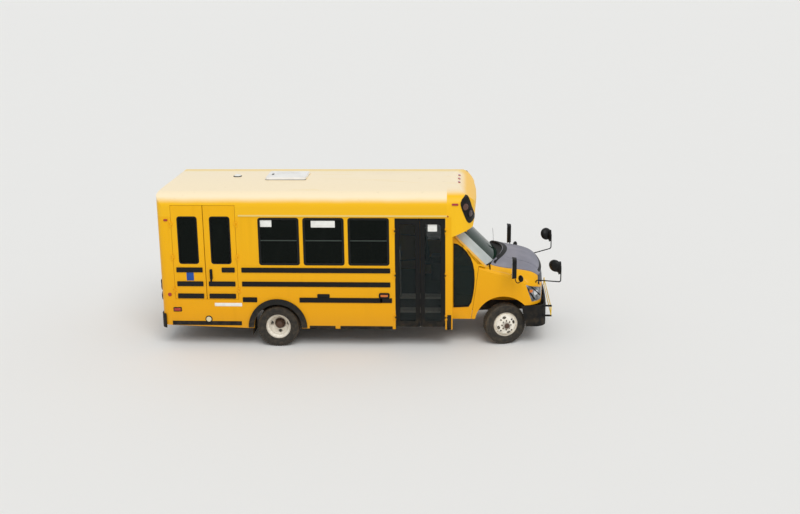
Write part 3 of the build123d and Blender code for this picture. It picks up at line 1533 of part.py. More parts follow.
# Seats: steel frames, and the pads they carry
# columns: side, middle of the cushion along the bus
bench_table = [(-1, 150.0), (-1, -600.0)] + [(1, 440.0 - 750.0 * i) for i in range(5)]
cushion_depth = 420.0
cushion_height = 95.0
seat_base_z = 1130.0
seat_base_gauge = 15.0
pad_gap = 0.3
bench_inner_y = 190.0
back_thickness = 90.0
back_top_z = 1880.0
driver_x = 1420.0
driver_y = 520.0
driver_half = 250.0

with BuildPart() as seat_frames:
    for side, bench_x in bench_table:
        with BuildSketch(Plane.XY.offset(seat_base_z)):
            with Locations((bench_x - 50, side * (bench_inner_y + inner_half) / 2)):
                Rectangle(cushion_depth + 100, inner_half - bench_inner_y)
        extrude(amount=seat_base_gauge)
        for leg_x in (bench_x - 200, bench_x + 100):
            with BuildSketch(Plane.XY.offset(floor_top)):
                with Locations((leg_x, side * (bench_inner_y + 70))):
                    Rectangle(36, 36)
            extrude(amount=seat_base_z - floor_top)
    with BuildSketch(Plane.XY.offset(floor_top)):
        with Locations((driver_x - 20, driver_y)):
            RectangleRounded(320, 340, 30)
    extrude(amount=seat_base_z - floor_top)
    with BuildSketch(Plane.XY.offset(seat_base_z)):
        with Locations((driver_x - 50, driver_y)):
            Rectangle(cushion_depth + 100, 2 * driver_half)
    extrude(amount=seat_base_gauge)
finish(seat_frames, "seat_frames")

pad_floor_z = seat_base_z + seat_base_gauge + pad_gap
# columns: middle of the cushion, middle across the bus, half width
pad_table = [
    (bench_x, side * (bench_inner_y + inner_half) / 2, (inner_half - bench_inner_y) / 2 - 10) for side, bench_x in bench_table
] + [(driver_x, driver_y, driver_half - 5)]
with BuildPart() as seat_pads:
    for pad_x, pad_y, half in pad_table:
        with BuildSketch(Plane.XY.offset(pad_floor_z)):
            with Locations((pad_x, pad_y)):
                RectangleRounded(cushion_depth, 2 * half, 40)
        extrude(amount=cushion_height)
        with BuildSketch(Plane.XZ.offset(-pad_y - half)):
            with BuildLine():
                Polyline(
                    (pad_x - cushion_depth / 2 - 5, pad_floor_z),
                    (pad_x - cushion_depth / 2 - 5 - back_thickness, pad_floor_z),
                    (pad_x - cushion_depth / 2 - 110 - back_thickness * 0.7, back_top_z),
                    (pad_x - cushion_depth / 2 - 110, back_top_z),
                    close=True,
                )
            make_face()
        extrude(amount=2 * half)
finish(seat_pads, "seat_pads")


# Dashboard with the engine cover, steering column and wheel
def firewall_x(z):
    """The firewall's cabin face at height z."""
    return 2070 + (z - cab_floor_top - 10) * 214 / (windshield_foot_z - 40 - cab_floor_top - 10)


with BuildPart() as dashboard:
    with BuildSketch(Plane.XZ):
        with BuildLine():
            Polyline(
                (firewall_x(1130) - pad_gap, 1130),
                (2060, 1150),
                (1985, 1290),
                (2005, 1350),
                (2120, 1396),
                (firewall_x(1396) - pad_gap, 1396),
                close=True,
            )
        make_face()
    extrude(amount=half_cab - cab_lean - 60, both=True)
    with BuildSketch(Plane.XY.offset(cab_floor_top + 10)):
        with Locations(((1670 + 2060) / 2, 0)):
            RectangleRounded(390, 520, 60)
    extrude(amount=430, taper=6)
    column_foot = Vector(2050, driver_y, 1260)
    column_head = Vector(1850, driver_y, 1370)
    with BuildSketch(Plane(origin=column_foot, z_dir=column_head - column_foot)):
        Circle(28)
    extrude(amount=(column_head - column_foot).length)
    with BuildSketch(Plane(origin=column_head, z_dir=column_head - column_foot)):
        Circle(205)
        Circle(180, mode=Mode.SUBTRACT)
        Rectangle(50, 370)
        Rectangle(370, 40)
    extrude(amount=24)
finish(dashboard, "dashboard")

# Mirrors: flat heads on fender arms, and crossover domes on nose arms
mirror_tube = 10.0
crossover_x = overall_half_length - mirror_tube
crossover_y = mirror_reach - 200
flat_mirror_x = 2692.0
flat_mirror_y = mirror_reach - 110
with BuildPart() as mirrors:
    for side in (-1, 1):
        with BuildLine() as crossover_arm:
            FilletPolyline(
                (3095, side * 862, 1080),
                (3150, side * 900, 1180),
                (crossover_x, side * crossover_y, 1225),
                (crossover_x, side * crossover_y, 1500),
                radius=40,
            )
        with BuildSketch(Plane(origin=crossover_arm.line @ 0, z_dir=crossover_arm.line % 0)):
            Circle(mirror_tube)
        sweep(path=crossover_arm.line)
        with BuildSketch(Plane.YZ.offset(crossover_x - 3)):
            with Locations((side * crossover_y, 1480)):
                Circle(112)
        extrude(amount=-26)
        with BuildSketch(Plane.YZ.offset(crossover_x - 29)):
            with Locations((side * crossover_y, 1480)):
                Circle(112)
        extrude(amount=-62, taper=45)
        with BuildLine() as flat_arm:
            FilletPolyline(
                (2690, side * 915, 1270),
                (flat_mirror_x + 48, side * 990, 1345),
                (flat_mirror_x + 48, side * flat_mirror_y, 1420),
                radius=30,
            )
        with BuildSketch(Plane(origin=flat_arm.line @ 0, z_dir=flat_arm.line % 0)):
            Circle(mirror_tube)
        sweep(path=flat_arm.line)
        with BuildSketch(Plane.YZ.offset(flat_mirror_x)):
            with Locations((side * (mirror_reach - 100), 1500)):
                RectangleRounded(200, 360, 40)
        extrude(amount=76, taper=8)
    add(nose_outer, mode=Mode.SUBTRACT)
finish(mirrors, "mirrors")

# Lamps
# columns: side, across, height of the rear lamps; red then amber
red_rear = [(-1, 800.0, 2520.0), (1, 800.0, 2520.0), (-1, 1020.0, 900.0), (1, 1020.0, 900.0)]
amber_rear = [(-1, 560.0, 2520.0), (1, 560.0, 2520.0), (-1, 1020.0, 1080.0), (1, 1020.0, 1080.0)]
lamp_radius = 88.0
lamp_depth = 26.0
with BuildPart() as red_lamps:
    for side, y, z in red_rear:
        with BuildSketch(Plane.YZ.offset(body_rear_x)):
            with Locations((side * y, z)):
                Circle(lamp_radius if z > 2000 else lamp_radius * 0.8)
        extrude(amount=-lamp_depth, taper=12)
finish(red_lamps, "red_lamps")

with BuildPart() as amber_lamps:
    for side, y, z in amber_rear:
        with BuildSketch(Plane.YZ.offset(body_rear_x)):
            with Locations((side * y, z)):
                Circle(lamp_radius if z > 2000 else lamp_radius * 0.8)
        extrude(amount=-lamp_depth, taper=12)
    with BuildSketch(Plane.XZ.offset(half_body)):
        with Locations((459, 972)):
            RectangleRounded(150, 60, 20)
    extrude(amount=20)
finish(amber_lamps, "amber_lamps")

# Stop arm on the left side, blank, and the crossing arm on the front bumper
stop_axis = (886.0, half_body + 27.0)
stop_arm_z = 1300.0
stop_half = 228.0
stop_gauge = 12.0
with BuildPart() as stop_arm:
    with BuildSketch(Plane.XZ.offset(-stop_axis[1] - stop_gauge / 2)):
        with Locations((stop_axis[0] - 60 - stop_half, stop_arm_z)):
            RegularPolygon(stop_half, 8, major_radius=False)
        with Locations((stop_axis[0] - 40, stop_arm_z)):
            Rectangle(80, 100)
    extrude(amount=stop_gauge)
    add(Pos(*stop_axis, stop_arm_z) * Cylinder(12, 120, mode=Mode.PRIVATE))
finish(stop_arm, "stop_arm")

crossing_axis = (bumper_front_x + 62.0, -930.0)
crossing_zs = (560.0, 690.0)
crossing_root_x = 3264.0
crossing_length = 1830.0
rod_radius = 8.0
with BuildPart() as crossing_arm:
    for rod_z in crossing_zs:
        with BuildSketch(Plane.XZ.offset(-crossing_axis[1])):
            with Locations((crossing_axis[0], rod_z)):
                Circle(rod_radius)
        extrude(amount=-crossing_length)
    for link_y in (crossing_axis[1], crossing_axis[1] + crossing_length):
        with BuildSketch(Plane.XY.offset(crossing_zs[0] - 12)):
            with Locations((crossing_axis[0], link_y)):
                Circle(rod_radius + 3)
        extrude(amount=crossing_zs[1] - crossing_zs[0] + 24)
finish(crossing_arm, "crossing_arm")

with BuildPart() as arm_mounts:
    for low_z, high_z in ((stop_arm_z - 84, stop_arm_z - 60.3), (stop_arm_z + 60.3, stop_arm_z + 84)):
        with BuildSketch(Plane.XY.offset(low_z)):
            with Locations(stop_axis):
                Circle(12)
            with Locations((stop_axis[0], (half_body + stop_axis[1]) / 2)):
                Rectangle(24, stop_axis[1] - half_body)
        extrude(amount=high_z - low_z)
    for low_z, high_z in ((crossing_zs[0] - 40, crossing_zs[0] - 12.3), (crossing_zs[1] + 12.3, crossing_zs[1] + 40)):
        with BuildSketch(Plane.XY.offset(low_z)):
            with Locations(crossing_axis):
                Circle(14)
            with Locations(((crossing_root_x + crossing_axis[0]) / 2, crossing_axis[1])):
                Rectangle(crossing_axis[0] - crossing_root_x, 28)
        extrude(amount=high_z - low_z)
    add(bumpers.part, mode=Mode.SUBTRACT)
finish(arm_mounts, "arm_mounts")

# Mud flaps and the black arch flares
with BuildPart() as arch_trim:
    for side in (-1, 1):
        with BuildSketch(Plane(origin=(0, side * half_body, 0), x_dir=(1, 0, 0), z_dir=(0, side, 0))):
            with Locations(wall_point(side, rear_axle_x, tyre_radius)):
                Circle(arch_radius + flare_width)
                Circle(arch_radius, mode=Mode.SUBTRACT)
            with Locations(wall_point(side, rear_axle_x, tyre_radius - 500)):
                Rectangle(1400, 1000, mode=Mode.SUBTRACT)
        extrude(amount=30, taper=0)
        flap_y = side * (rear_track / 2 + 10)
        with BuildSketch(Plane.YZ.offset(rear_axle_x - arch_radius - 40)):
            with Locations((flap_y, 470)):
                Rectangle(380, 520)
        extrude(amount=10)
finish(arch_trim, "arch_trim")
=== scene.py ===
"""Looks of a short school bus: finishes, glass, tyres, seats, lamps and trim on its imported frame.

Metres. X points forward, Y to the bus's left, Z up, with the ground at zero.
"""

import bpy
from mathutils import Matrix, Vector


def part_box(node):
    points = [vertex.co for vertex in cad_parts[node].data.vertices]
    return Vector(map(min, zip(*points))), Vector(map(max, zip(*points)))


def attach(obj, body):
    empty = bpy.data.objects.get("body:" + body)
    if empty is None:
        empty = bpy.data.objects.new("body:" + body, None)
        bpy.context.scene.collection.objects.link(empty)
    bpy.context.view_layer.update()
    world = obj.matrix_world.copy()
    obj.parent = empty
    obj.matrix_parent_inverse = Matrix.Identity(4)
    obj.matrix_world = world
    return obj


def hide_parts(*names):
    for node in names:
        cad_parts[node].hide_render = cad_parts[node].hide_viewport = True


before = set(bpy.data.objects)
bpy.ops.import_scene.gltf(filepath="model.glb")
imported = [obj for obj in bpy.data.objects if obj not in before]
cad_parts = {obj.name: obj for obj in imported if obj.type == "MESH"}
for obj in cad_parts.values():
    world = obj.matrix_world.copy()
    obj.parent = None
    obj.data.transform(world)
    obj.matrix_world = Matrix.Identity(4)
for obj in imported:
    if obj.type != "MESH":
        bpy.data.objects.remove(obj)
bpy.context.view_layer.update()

import logging
import math
from dataclasses import dataclass
from enum import Enum
from typing import Optional, Sequence, Union

import bmesh
import bpy
from mathutils import Matrix, Vector
from mathutils.bvhtree import BVHTree
from mathutils.geometry import delaunay_2d_cdt

log = logging.getLogger("bus")
Colour = tuple[float, float, float]
Point2 = tuple[float, float]
Point3 = tuple[float, float, float]


def screen(red: int, green: int, blue: int) -> Colour:
    """Turn a colour as a screen shows it into the linear one that a shader takes.

    Args:
        red, green, blue: the screen's levels, 0 to 255.

    Returns:
        The linear colour.
    """
    parts = [level / 255 for level in (red, green, blue)]
    return tuple(part / 12.92 if part < 0.04045 else ((part + 0.055) / 1.055) ** 2.4 for part in parts)


class Value:
    """A shader socket that sums and products can be written with."""

    def __init__(self, graph: "Graph", socket: bpy.types.NodeSocket) -> None:
        """Keep the graph and the output socket that this value comes from."""
        self.graph = graph
        self.socket = socket

    def maths(self, operation: str, first: "Operand", second: "Operand") -> "Value":
        """Add one Math node on two operands."""
        return self.graph.node("ShaderNodeMath", {"operation": operation}, {0: first, 1: second})

    def __add__(self, other: "Operand") -> "Value":
        """Sum."""
        return self.maths("ADD", self, other)

    __radd__ = __add__

    def __sub__(self, other: "Operand") -> "Value":
        """Difference."""
        return self.maths("SUBTRACT", self, other)

    def __rsub__(self, other: "Operand") -> "Value":
        """Difference from a plain number."""
        return self.maths("SUBTRACT", other, self)

    def __mul__(self, other: "Operand") -> "Value":
        """Product."""
        return self.maths("MULTIPLY", self, other)

    __rmul__ = __mul__

    def __truediv__(self, other: "Operand") -> "Value":
        """Quotient."""
        return self.maths("DIVIDE", self, other)

    def __gt__(self, other: "Operand") -> "Value":
        """One where this value is the greater."""
        return self.maths("GREATER_THAN", self, other)

    def __lt__(self, other: "Operand") -> "Value":
        """One where this value is the lesser."""
        return self.maths("LESS_THAN", self, other)

    def size(self) -> "Value":
        """The value without its sign."""
        return self.maths("ABSOLUTE", self, 0.0)

    def step(self, low: float, high: float) -> "Value":
        """Rise smoothly from 0 at low to 1 at high."""
        return self.graph.node(
            "ShaderNodeMapRange",
            {"interpolation_type": "SMOOTHSTEP"},
            {0: self, 1: low, 2: high, 3: 0.0, 4: 1.0},
        )


Operand = Union[Value, float]
ColourOperand = Union[Value, Colour]


class Graph:
    """The node tree of one material, with short calls for the nodes used here."""

    def __init__(self, material: bpy.types.Material) -> None:
        """Empty the material's tree and read the piece's own coordinates."""
        material.use_nodes = True
        self.tree = material.node_tree
        self.tree.nodes.clear()
        self.place = self.node("ShaderNodeTexCoord", {}, {}, "Object")
        self.x, self.y, self.z = (
            self.node("ShaderNodeSeparateXYZ", {}, {0: self.place}, output) for output in range(3)
        )

    def node(self, kind: str, settings: dict, inputs: dict, output: Union[int, str] = 0) -> Value:
        """Add a node.

        Args:
            kind: the node's type.
            settings: its own settings.
            inputs: values or links for its sockets, by index or name.
            output: the socket that is returned.

        Returns:
            The chosen output as a value.
        """
        made = self.tree.nodes.new(kind)
        for key, value in settings.items():
            setattr(made, key, value)
        for key, value in inputs.items():
            socket = made.inputs[key]
            if isinstance(value, Value):
                self.tree.links.new(value.socket, socket)
            elif isinstance(value, tuple) and socket.type == "RGBA":
                socket.default_value = (*value, 1.0)
            else:
                socket.default_value = value
        return Value(self, made.outputs[output])

    def mix(self, factor: Operand, low: ColourOperand, high: ColourOperand) -> Value:
        """Blend two colours: low where the factor is 0, high where it is 1."""
        return self.node("ShaderNodeMix", {"data_type": "RGBA"}, {0: factor, 6: low, 7: high}, 2)

    def stretched(self, scale: Point3) -> Value:
        """The piece's coordinates multiplied axis by axis."""
        return self.node("ShaderNodeVectorMath", {"operation": "MULTIPLY"}, {0: self.place, 1: scale})

    def noise(
        self, scale: float, detail: float = 3.0, stretch: Point3 = (1, 1, 1), seed: float = 0.0
    ) -> Value:
        """Soft noise between 0 and 1 on the piece's coordinates.

        Args:
            scale: how fine it is.
            detail: its octaves.
            stretch: a scale for each axis.
            seed: which noise it is.

        Returns:
            The noise.
        """
        inputs = {"Vector": self.stretched(stretch), "W": seed, "Scale": scale, "Detail": detail}
        return self.node("ShaderNodeTexNoise", {"noise_dimensions": "4D"}, {**inputs, "Roughness": 0.55})

    def cells(self, scale: float, stretch: Point3 = (1, 1, 1)) -> Value:
        """Distance to the nearest cell middle of a random cell pattern."""
        return self.node("ShaderNodeTexVoronoi", {}, {"Vector": self.stretched(stretch), "Scale": scale})

    def from_axis(self, centre: Point3, axis: Point3) -> Value:
        """Distance of each point from a line through centre along axis."""
        arm = self.node("ShaderNodeVectorMath", {"operation": "SUBTRACT"}, {0: self.place, 1: centre})
        side = self.node("ShaderNodeVectorMath", {"operation": "CROSS_PRODUCT"}, {0: arm, 1: axis})
        return self.node("ShaderNodeVectorMath", {"operation": "LENGTH"}, {0: side}, "Value")

    def bump(self, height: Value, distance: float, strength: float = 1.0) -> Value:
        """Turn a height into a surface normal."""
        return self.node("ShaderNodeBump", {}, {"Height": height, "Distance": distance, "Strength": strength})

    def surface(
        self, colour: ColourOperand, roughness: Operand, normal: Optional[Value] = None, **fixed: float
    ) -> None:
        """End the tree in one shader.

        Args:
            colour: base colour.
            roughness: roughness.
            normal: surface normal, where there is one.
            fixed: other inputs of the shader by name, with _ for a space.
        """
        inputs = {"Base Color": colour, "Roughness": roughness}
        if normal is not None:
            inputs["Normal"] = normal
        inputs.update({key.replace("_", " "): value for key, value in fixed.items()})
        shader = self.node("ShaderNodeBsdfPrincipled", {}, inputs)
        self.node_output(shader)

    def node_output(self, shader: Value) -> None:
        """Link a shader to the material's output."""
        output = self.tree.nodes.new("ShaderNodeOutputMaterial")
        self.tree.links.new(shader.socket, output.inputs[0])


@dataclass(frozen=True)
class Finish:
    """One surface finish. Its material is built once and shared."""

    name: str

    def paint(self, graph: Graph) -> None:
        """Build the finish in a material's graph."""
        raise NotImplementedError

    def material(self) -> bpy.types.Material:
        """Return the finish's material, building it the first time."""
        label = "bus_" + self.name
        known = bpy.data.materials.get(label)
        if known:
            return known
        made = bpy.data.materials.new(label)
        self.paint(Graph(made))
        return made


@dataclass(frozen=True)
class BodyPaint(Finish):
    """Enamel on sheet metal: a little lighter upward, carries road dust low down."""

    high: Colour = screen(241, 179, 8)
    low: Colour = screen(234, 163, 8)
    dust: Colour = screen(150, 112, 62)
    dust_top: float = 0.75
    black_rows: tuple[Point2, ...] = ()
    black_beyond: float = 1.2195
    roughness: float = 0.36

    def paint(self, graph: Graph) -> None:
        """Lighter towards the top, faint vertical runs, dust along the skirt and a slight ripple in the
        sheet.
        """
        # Blends from the darker low colour to the lighter high colour going up.
        height_blend = (graph.z + graph.noise(0.8) * 0.8).step(0.7, 2.6)
        runs = graph.noise(3.2, 4.0, (2.4, 2.4, 0.22), 4.0).step(0.48, 0.75)
        colour = graph.mix(height_blend, self.low, self.high)
        colour = graph.mix(runs * 0.16, colour, tuple(part * 0.72 for part in self.low))
        dust = (graph.noise(5.0, 6.0, (1, 1, 0.5), 2.0) * 0.7 + 0.15) * (1 - graph.z.step(0.3, self.dust_top))
        colour = graph.mix(dust * 0.3, colour, self.dust)
        roughness = dust * 0.3 + self.roughness
        for low, high in self.black_rows:
            row = (graph.z > low) * (graph.z < high) * (graph.y.size() > self.black_beyond)
            colour = graph.mix(row, colour, screen(20, 20, 20))
        ripple = graph.noise(1.7, 2.0) * 0.0022 + graph.noise(160.0, 2.0) * 0.00012
        graph.surface(colour, roughness, graph.bump(ripple, 1.0), Specular_IOR_Level=0.18, Coat_Weight=0.06)


@dataclass(frozen=True)
class RoofPaint(Finish):
    """Golden enamel with its top above the cove painted pale as a sky highlight, and a painted highlight line
    along each side's gutter.
    """

    # pale is a painted sky highlight on the top, golden is the paint's own colour, and gutter gives the
    # heights of the painted highlight line.
    pale: Colour = screen(248, 230, 194)
    golden: Colour = screen(243, 186, 12)
    cove_z: float = 2.63
    cove_blend: float = 0.13
    gutter: tuple[float, float] = (2.39, 2.44)
    roughness: float = 0.42

    def paint(self, graph: Graph) -> None:
        """Painted pale sky highlight above the cove line with golden streaks along the bus in it, and a
        painted highlight along the gutter.
        """
        wander = graph.noise(2.2, 3.0) * 0.03
        # top: where the painted pale sky highlight covers the roof; the streak and patch noise below break it
        # up.
        top = (graph.z + wander).step(self.cove_z, self.cove_z + self.cove_blend)
        streak = graph.noise(2.4, 5.0, (0.35, 2.2, 1.0), 3.0).step(0.56, 0.74)
        patch = graph.noise(1.1, 4.0, (0.8, 1.0, 1.0), 9.0).step(0.55, 0.8)
        pale = graph.mix(streak * 0.42, self.pale, screen(244, 214, 130))
        pale = graph.mix(patch * 0.25, pale, screen(226, 205, 176))
        # The painted highlight gives way to golden paint towards the far (left) edge.
        far_edge = (graph.y + wander).step(0.5, 0.85)
        pale = graph.mix(far_edge * 0.8, pale, screen(243, 204, 70))
        colour = graph.mix(top, self.golden, pale)
        # A painted highlight along the gutter rail on each side.
        gutter_highlight = (graph.y.size() > 1.2195) * (graph.z > self.gutter[0]) * (graph.z < self.gutter[1])
        colour = graph.mix(gutter_highlight, colour, screen(233, 206, 120))
        grime = graph.noise(9.0, 6.0, (1, 1, 1), 5.0).step(0.6, 0.85) * 0.18
        colour = graph.mix(grime, colour, screen(140, 116, 82))
        ripple = graph.noise(1.3, 2.0) * 0.003 + graph.noise(140.0, 2.0) * 0.00015
        roughness, normal = grime + self.roughness, graph.bump(ripple, 1.0)
        graph.surface(colour, roughness, normal, Specular_IOR_Level=0.25, Coat_Weight=0.08)


@dataclass(frozen=True)
class Coating(Finish):
    """A plain coated or moulded surface with mottled colour, dust and grain."""

    colour: Colour = (0.02, 0.02, 0.02)
    mottle: Colour = (0.05, 0.05, 0.05)
    mottle_share: float = 0.5
    mottle_scale: float = 7.0
    dust: Colour = screen(140, 118, 88)
    dust_share: float = 0.2
    dust_top: float = 0.9
    roughness: float = 0.5
    grain: float = 300.0
    grain_depth: float = 0.0002
    metallic: float = 0.0
    coat: float = 0.0
    gloss: float = 0.2
    stretch: Point3 = (1.0, 1.0, 1.0)

    def paint(self, graph: Graph) -> None:
        """Mottled base, dust that thins out with height, and a fine grain."""
        patches = graph.noise(self.mottle_scale, 5.0, self.stretch, 1.0).step(0.4, 0.75)
        colour = graph.mix(patches * self.mottle_share, self.colour, self.mottle)
        dust = graph.noise(12.0, 6.0, self.stretch, 7.0).step(0.35, 0.8)
        dust = dust * (1 - graph.z.step(0.2, self.dust_top)) * self.dust_share
        colour = graph.mix(dust, colour, self.dust)
        roughness = dust * 0.4 + patches * 0.08 + self.roughness
        normal = graph.bump(graph.noise(self.grain, 2.0, self.stretch), self.grain_depth)
        graph.surface(
            colour,
            roughness,
            normal,
            Metallic=self.metallic,
            Coat_Weight=self.coat,
            Coat_Roughness=0.1,
            Specular_IOR_Level=self.gloss,
        )


@dataclass(frozen=True)
class Glass(Finish):
    """Tinted safety glass with faint smears."""

    tint: Colour = screen(24, 32, 30)
    cover: float = 0.8
    roughness: float = 0.04

    def paint(self, graph: Graph) -> None:
        """A thin see-through sheet: what it lets past is set by its cover."""
        smear = graph.noise(6.0, 5.0, (1.0, 1.0, 0.4), 6.0).step(0.5, 0.85)
        colour = graph.mix(smear * 0.25, self.tint, tuple(part * 2.2 + 0.01 for part in self.tint))
        graph.surface(
            colour, smear * 0.08 + self.roughness, None, Alpha=self.cover, Specular_IOR_Level=0.2, IOR=1.5
        )


@dataclass(frozen=True)
class BusGlass(Glass):
    """Glass of the fixed windows: the windshield is greener, with a painted pale reflection along its right
    edge.
    """

    front_x: float = 1.66
    green: Colour = screen(20, 44, 33)
    # The colour and edge of a painted sky reflection on the windshield's right side.
    painted_reflection_colour: Colour = screen(206, 214, 212)
    painted_reflection_edge: float = -0.548
    front_cover: float = 0.95

    def paint(self, graph: Graph) -> None:
        """The side tint, and the windshield's by its place ahead of the body."""
        smear = graph.noise(6.0, 5.0, (1.0, 1.0, 0.4), 6.0).step(0.5, 0.85)
        colour = graph.mix(smear * 0.25, self.tint, tuple(part * 2.2 + 0.01 for part in self.tint))
        front = (graph.x > self.front_x) * (graph.y.size() < 0.9)
        streaks = graph.noise(3.0, 5.0, (0.6, 3.0, 0.6), 2.0).step(0.35, 0.8)
        colour = graph.mix(front, colour, graph.mix(streaks * 0.3, self.green, screen(62, 88, 76)))
        # A painted reflection: a pale, more opaque band on the windshield's right side, broken up a little by
        # noise.
        painted_reflection_band = front * (1 - graph.y.step(self.painted_reflection_edge - 0.004, self.painted_reflection_edge + 0.004))
        reflection_breakup = graph.noise(1.6, 3.0, (1.0, 1.0, 1.0), 5.0).step(0.3, 0.7) * 0.3
        colour = graph.mix(painted_reflection_band * (1 - reflection_breakup), colour, self.painted_reflection_colour)
        cover = front * (self.front_cover - self.cover) + self.cover
        cover = cover + painted_reflection_band * (0.98 - self.front_cover)
        graph.surface(
            colour, smear * 0.08 + self.roughness, None, Alpha=cover, Specular_IOR_Level=0.07, IOR=1.5
        )


@dataclass(frozen=True)
class Lens(Finish):
    """A moulded lamp lens with fine prisms inside."""

    colour: Colour = (0.6, 0.02, 0.01)
    deep: Colour = (0.15, 0.0, 0.0)
    pitch: float = 420.0
    cover: float = 1.0

    def paint(self, graph: Graph) -> None:
        """Prism rows as a bump, darker between them."""
        across = graph.node("ShaderNodeMath", {"operation": "SINE"}, {0: graph.z * self.pitch})
        along = graph.node("ShaderNodeMath", {"operation": "SINE"}, {0: (graph.x + graph.y) * self.pitch})
        prisms = across * along * 0.5 + 0.5
        colour = graph.mix(prisms * 0.5 + 0.25, self.deep, self.colour)
        normal = graph.bump(prisms, 0.0012)
        graph.surface(colour, 0.18, normal, Alpha=self.cover, Coat_Weight=0.6, Coat_Roughness=0.05)


@dataclass(frozen=True)
class WheelPaint(Finish):
    """White wheel enamel, worn and stained brown around the hub."""

    centre: Point3 = (0, 0, 0)
    axis: Point3 = (0, 1, 0)
    stain: float = 0.085

    def paint(self, graph: Graph) -> None:
        """Stain by the distance from the axle, chips by noise."""
        radius = graph.from_axis(self.centre, self.axis)
        wander = graph.noise(14.0, 5.0) * 0.03
        hub = 1 - (radius + wander).step(self.stain, self.stain + 0.035)
        rim = (radius + wander).step(0.205, 0.228)
        grime = graph.noise(22.0, 6.0, (1, 1, 1), 3.0).step(0.4, 0.75)
        colour = graph.mix(grime * 0.35, screen(246, 240, 226), screen(176, 150, 116))
        colour = graph.mix(hub, colour, screen(74, 50, 34))
        colour = graph.mix(rim * 0.55, colour, screen(120, 104, 82))
        chips = graph.noise(70.0, 4.0, (1, 1, 1), 8.0).step(0.66, 0.74)
        colour = graph.mix(chips * 0.6, colour, screen(84, 54, 34))
        height = graph.noise(90.0, 4.0) * 0.0004 + chips * 0.0002
        graph.surface(colour, grime * 0.25 + 0.42, graph.bump(height, 1.0))


@dataclass(frozen=True)
class TyreRubber(Finish):
    """Tyre rubber with a dusty tread and a brown wash on the side wall."""

    centre: Point3 = (0, 0, 0)
    axis: Point3 = (0, 1, 0)

    def paint(self, graph: Graph) -> None:
        """Dust by noise and by the distance from the axle."""
        radius = graph.from_axis(self.centre, self.axis)
        dust = graph.noise(16.0, 6.0).step(0.35, 0.8)
        tread = radius.step(0.335, 0.366)
        share = dust * 0.35 + tread * 0.25 + 0.06
        colour = graph.mix(share, screen(26, 26, 25), screen(104, 90, 70))
        rings = graph.node("ShaderNodeMath", {"operation": "SINE"}, {0: radius * 900.0})
        height = rings * 0.0003 + graph.noise(260.0, 3.0) * 0.0005
        graph.surface(colour, 0.86 - tread * 0.06, graph.bump(height, 1.0))


@dataclass(frozen=True)
class Vinyl(Finish):
    """Coated seat cloth with a leather-like grain and paler worn crowns."""

    colour: Colour = screen(44, 50, 52)
    worn: Colour = screen(92, 98, 98)

    def paint(self, graph: Graph) -> None:
        """Cell grain, wear in patches and a soft sheen."""
        wear = graph.noise(5.0, 5.0).step(0.5, 0.8)
        colour = graph.mix(wear * 0.4, self.colour, self.worn)
        pebbles = graph.cells(320.0)
        normal = graph.bump(pebbles * 0.6 + graph.noise(30.0, 2.0) * 0.4, 0.0007)
        graph.surface(colour, wear * 0.1 + 0.52, normal)


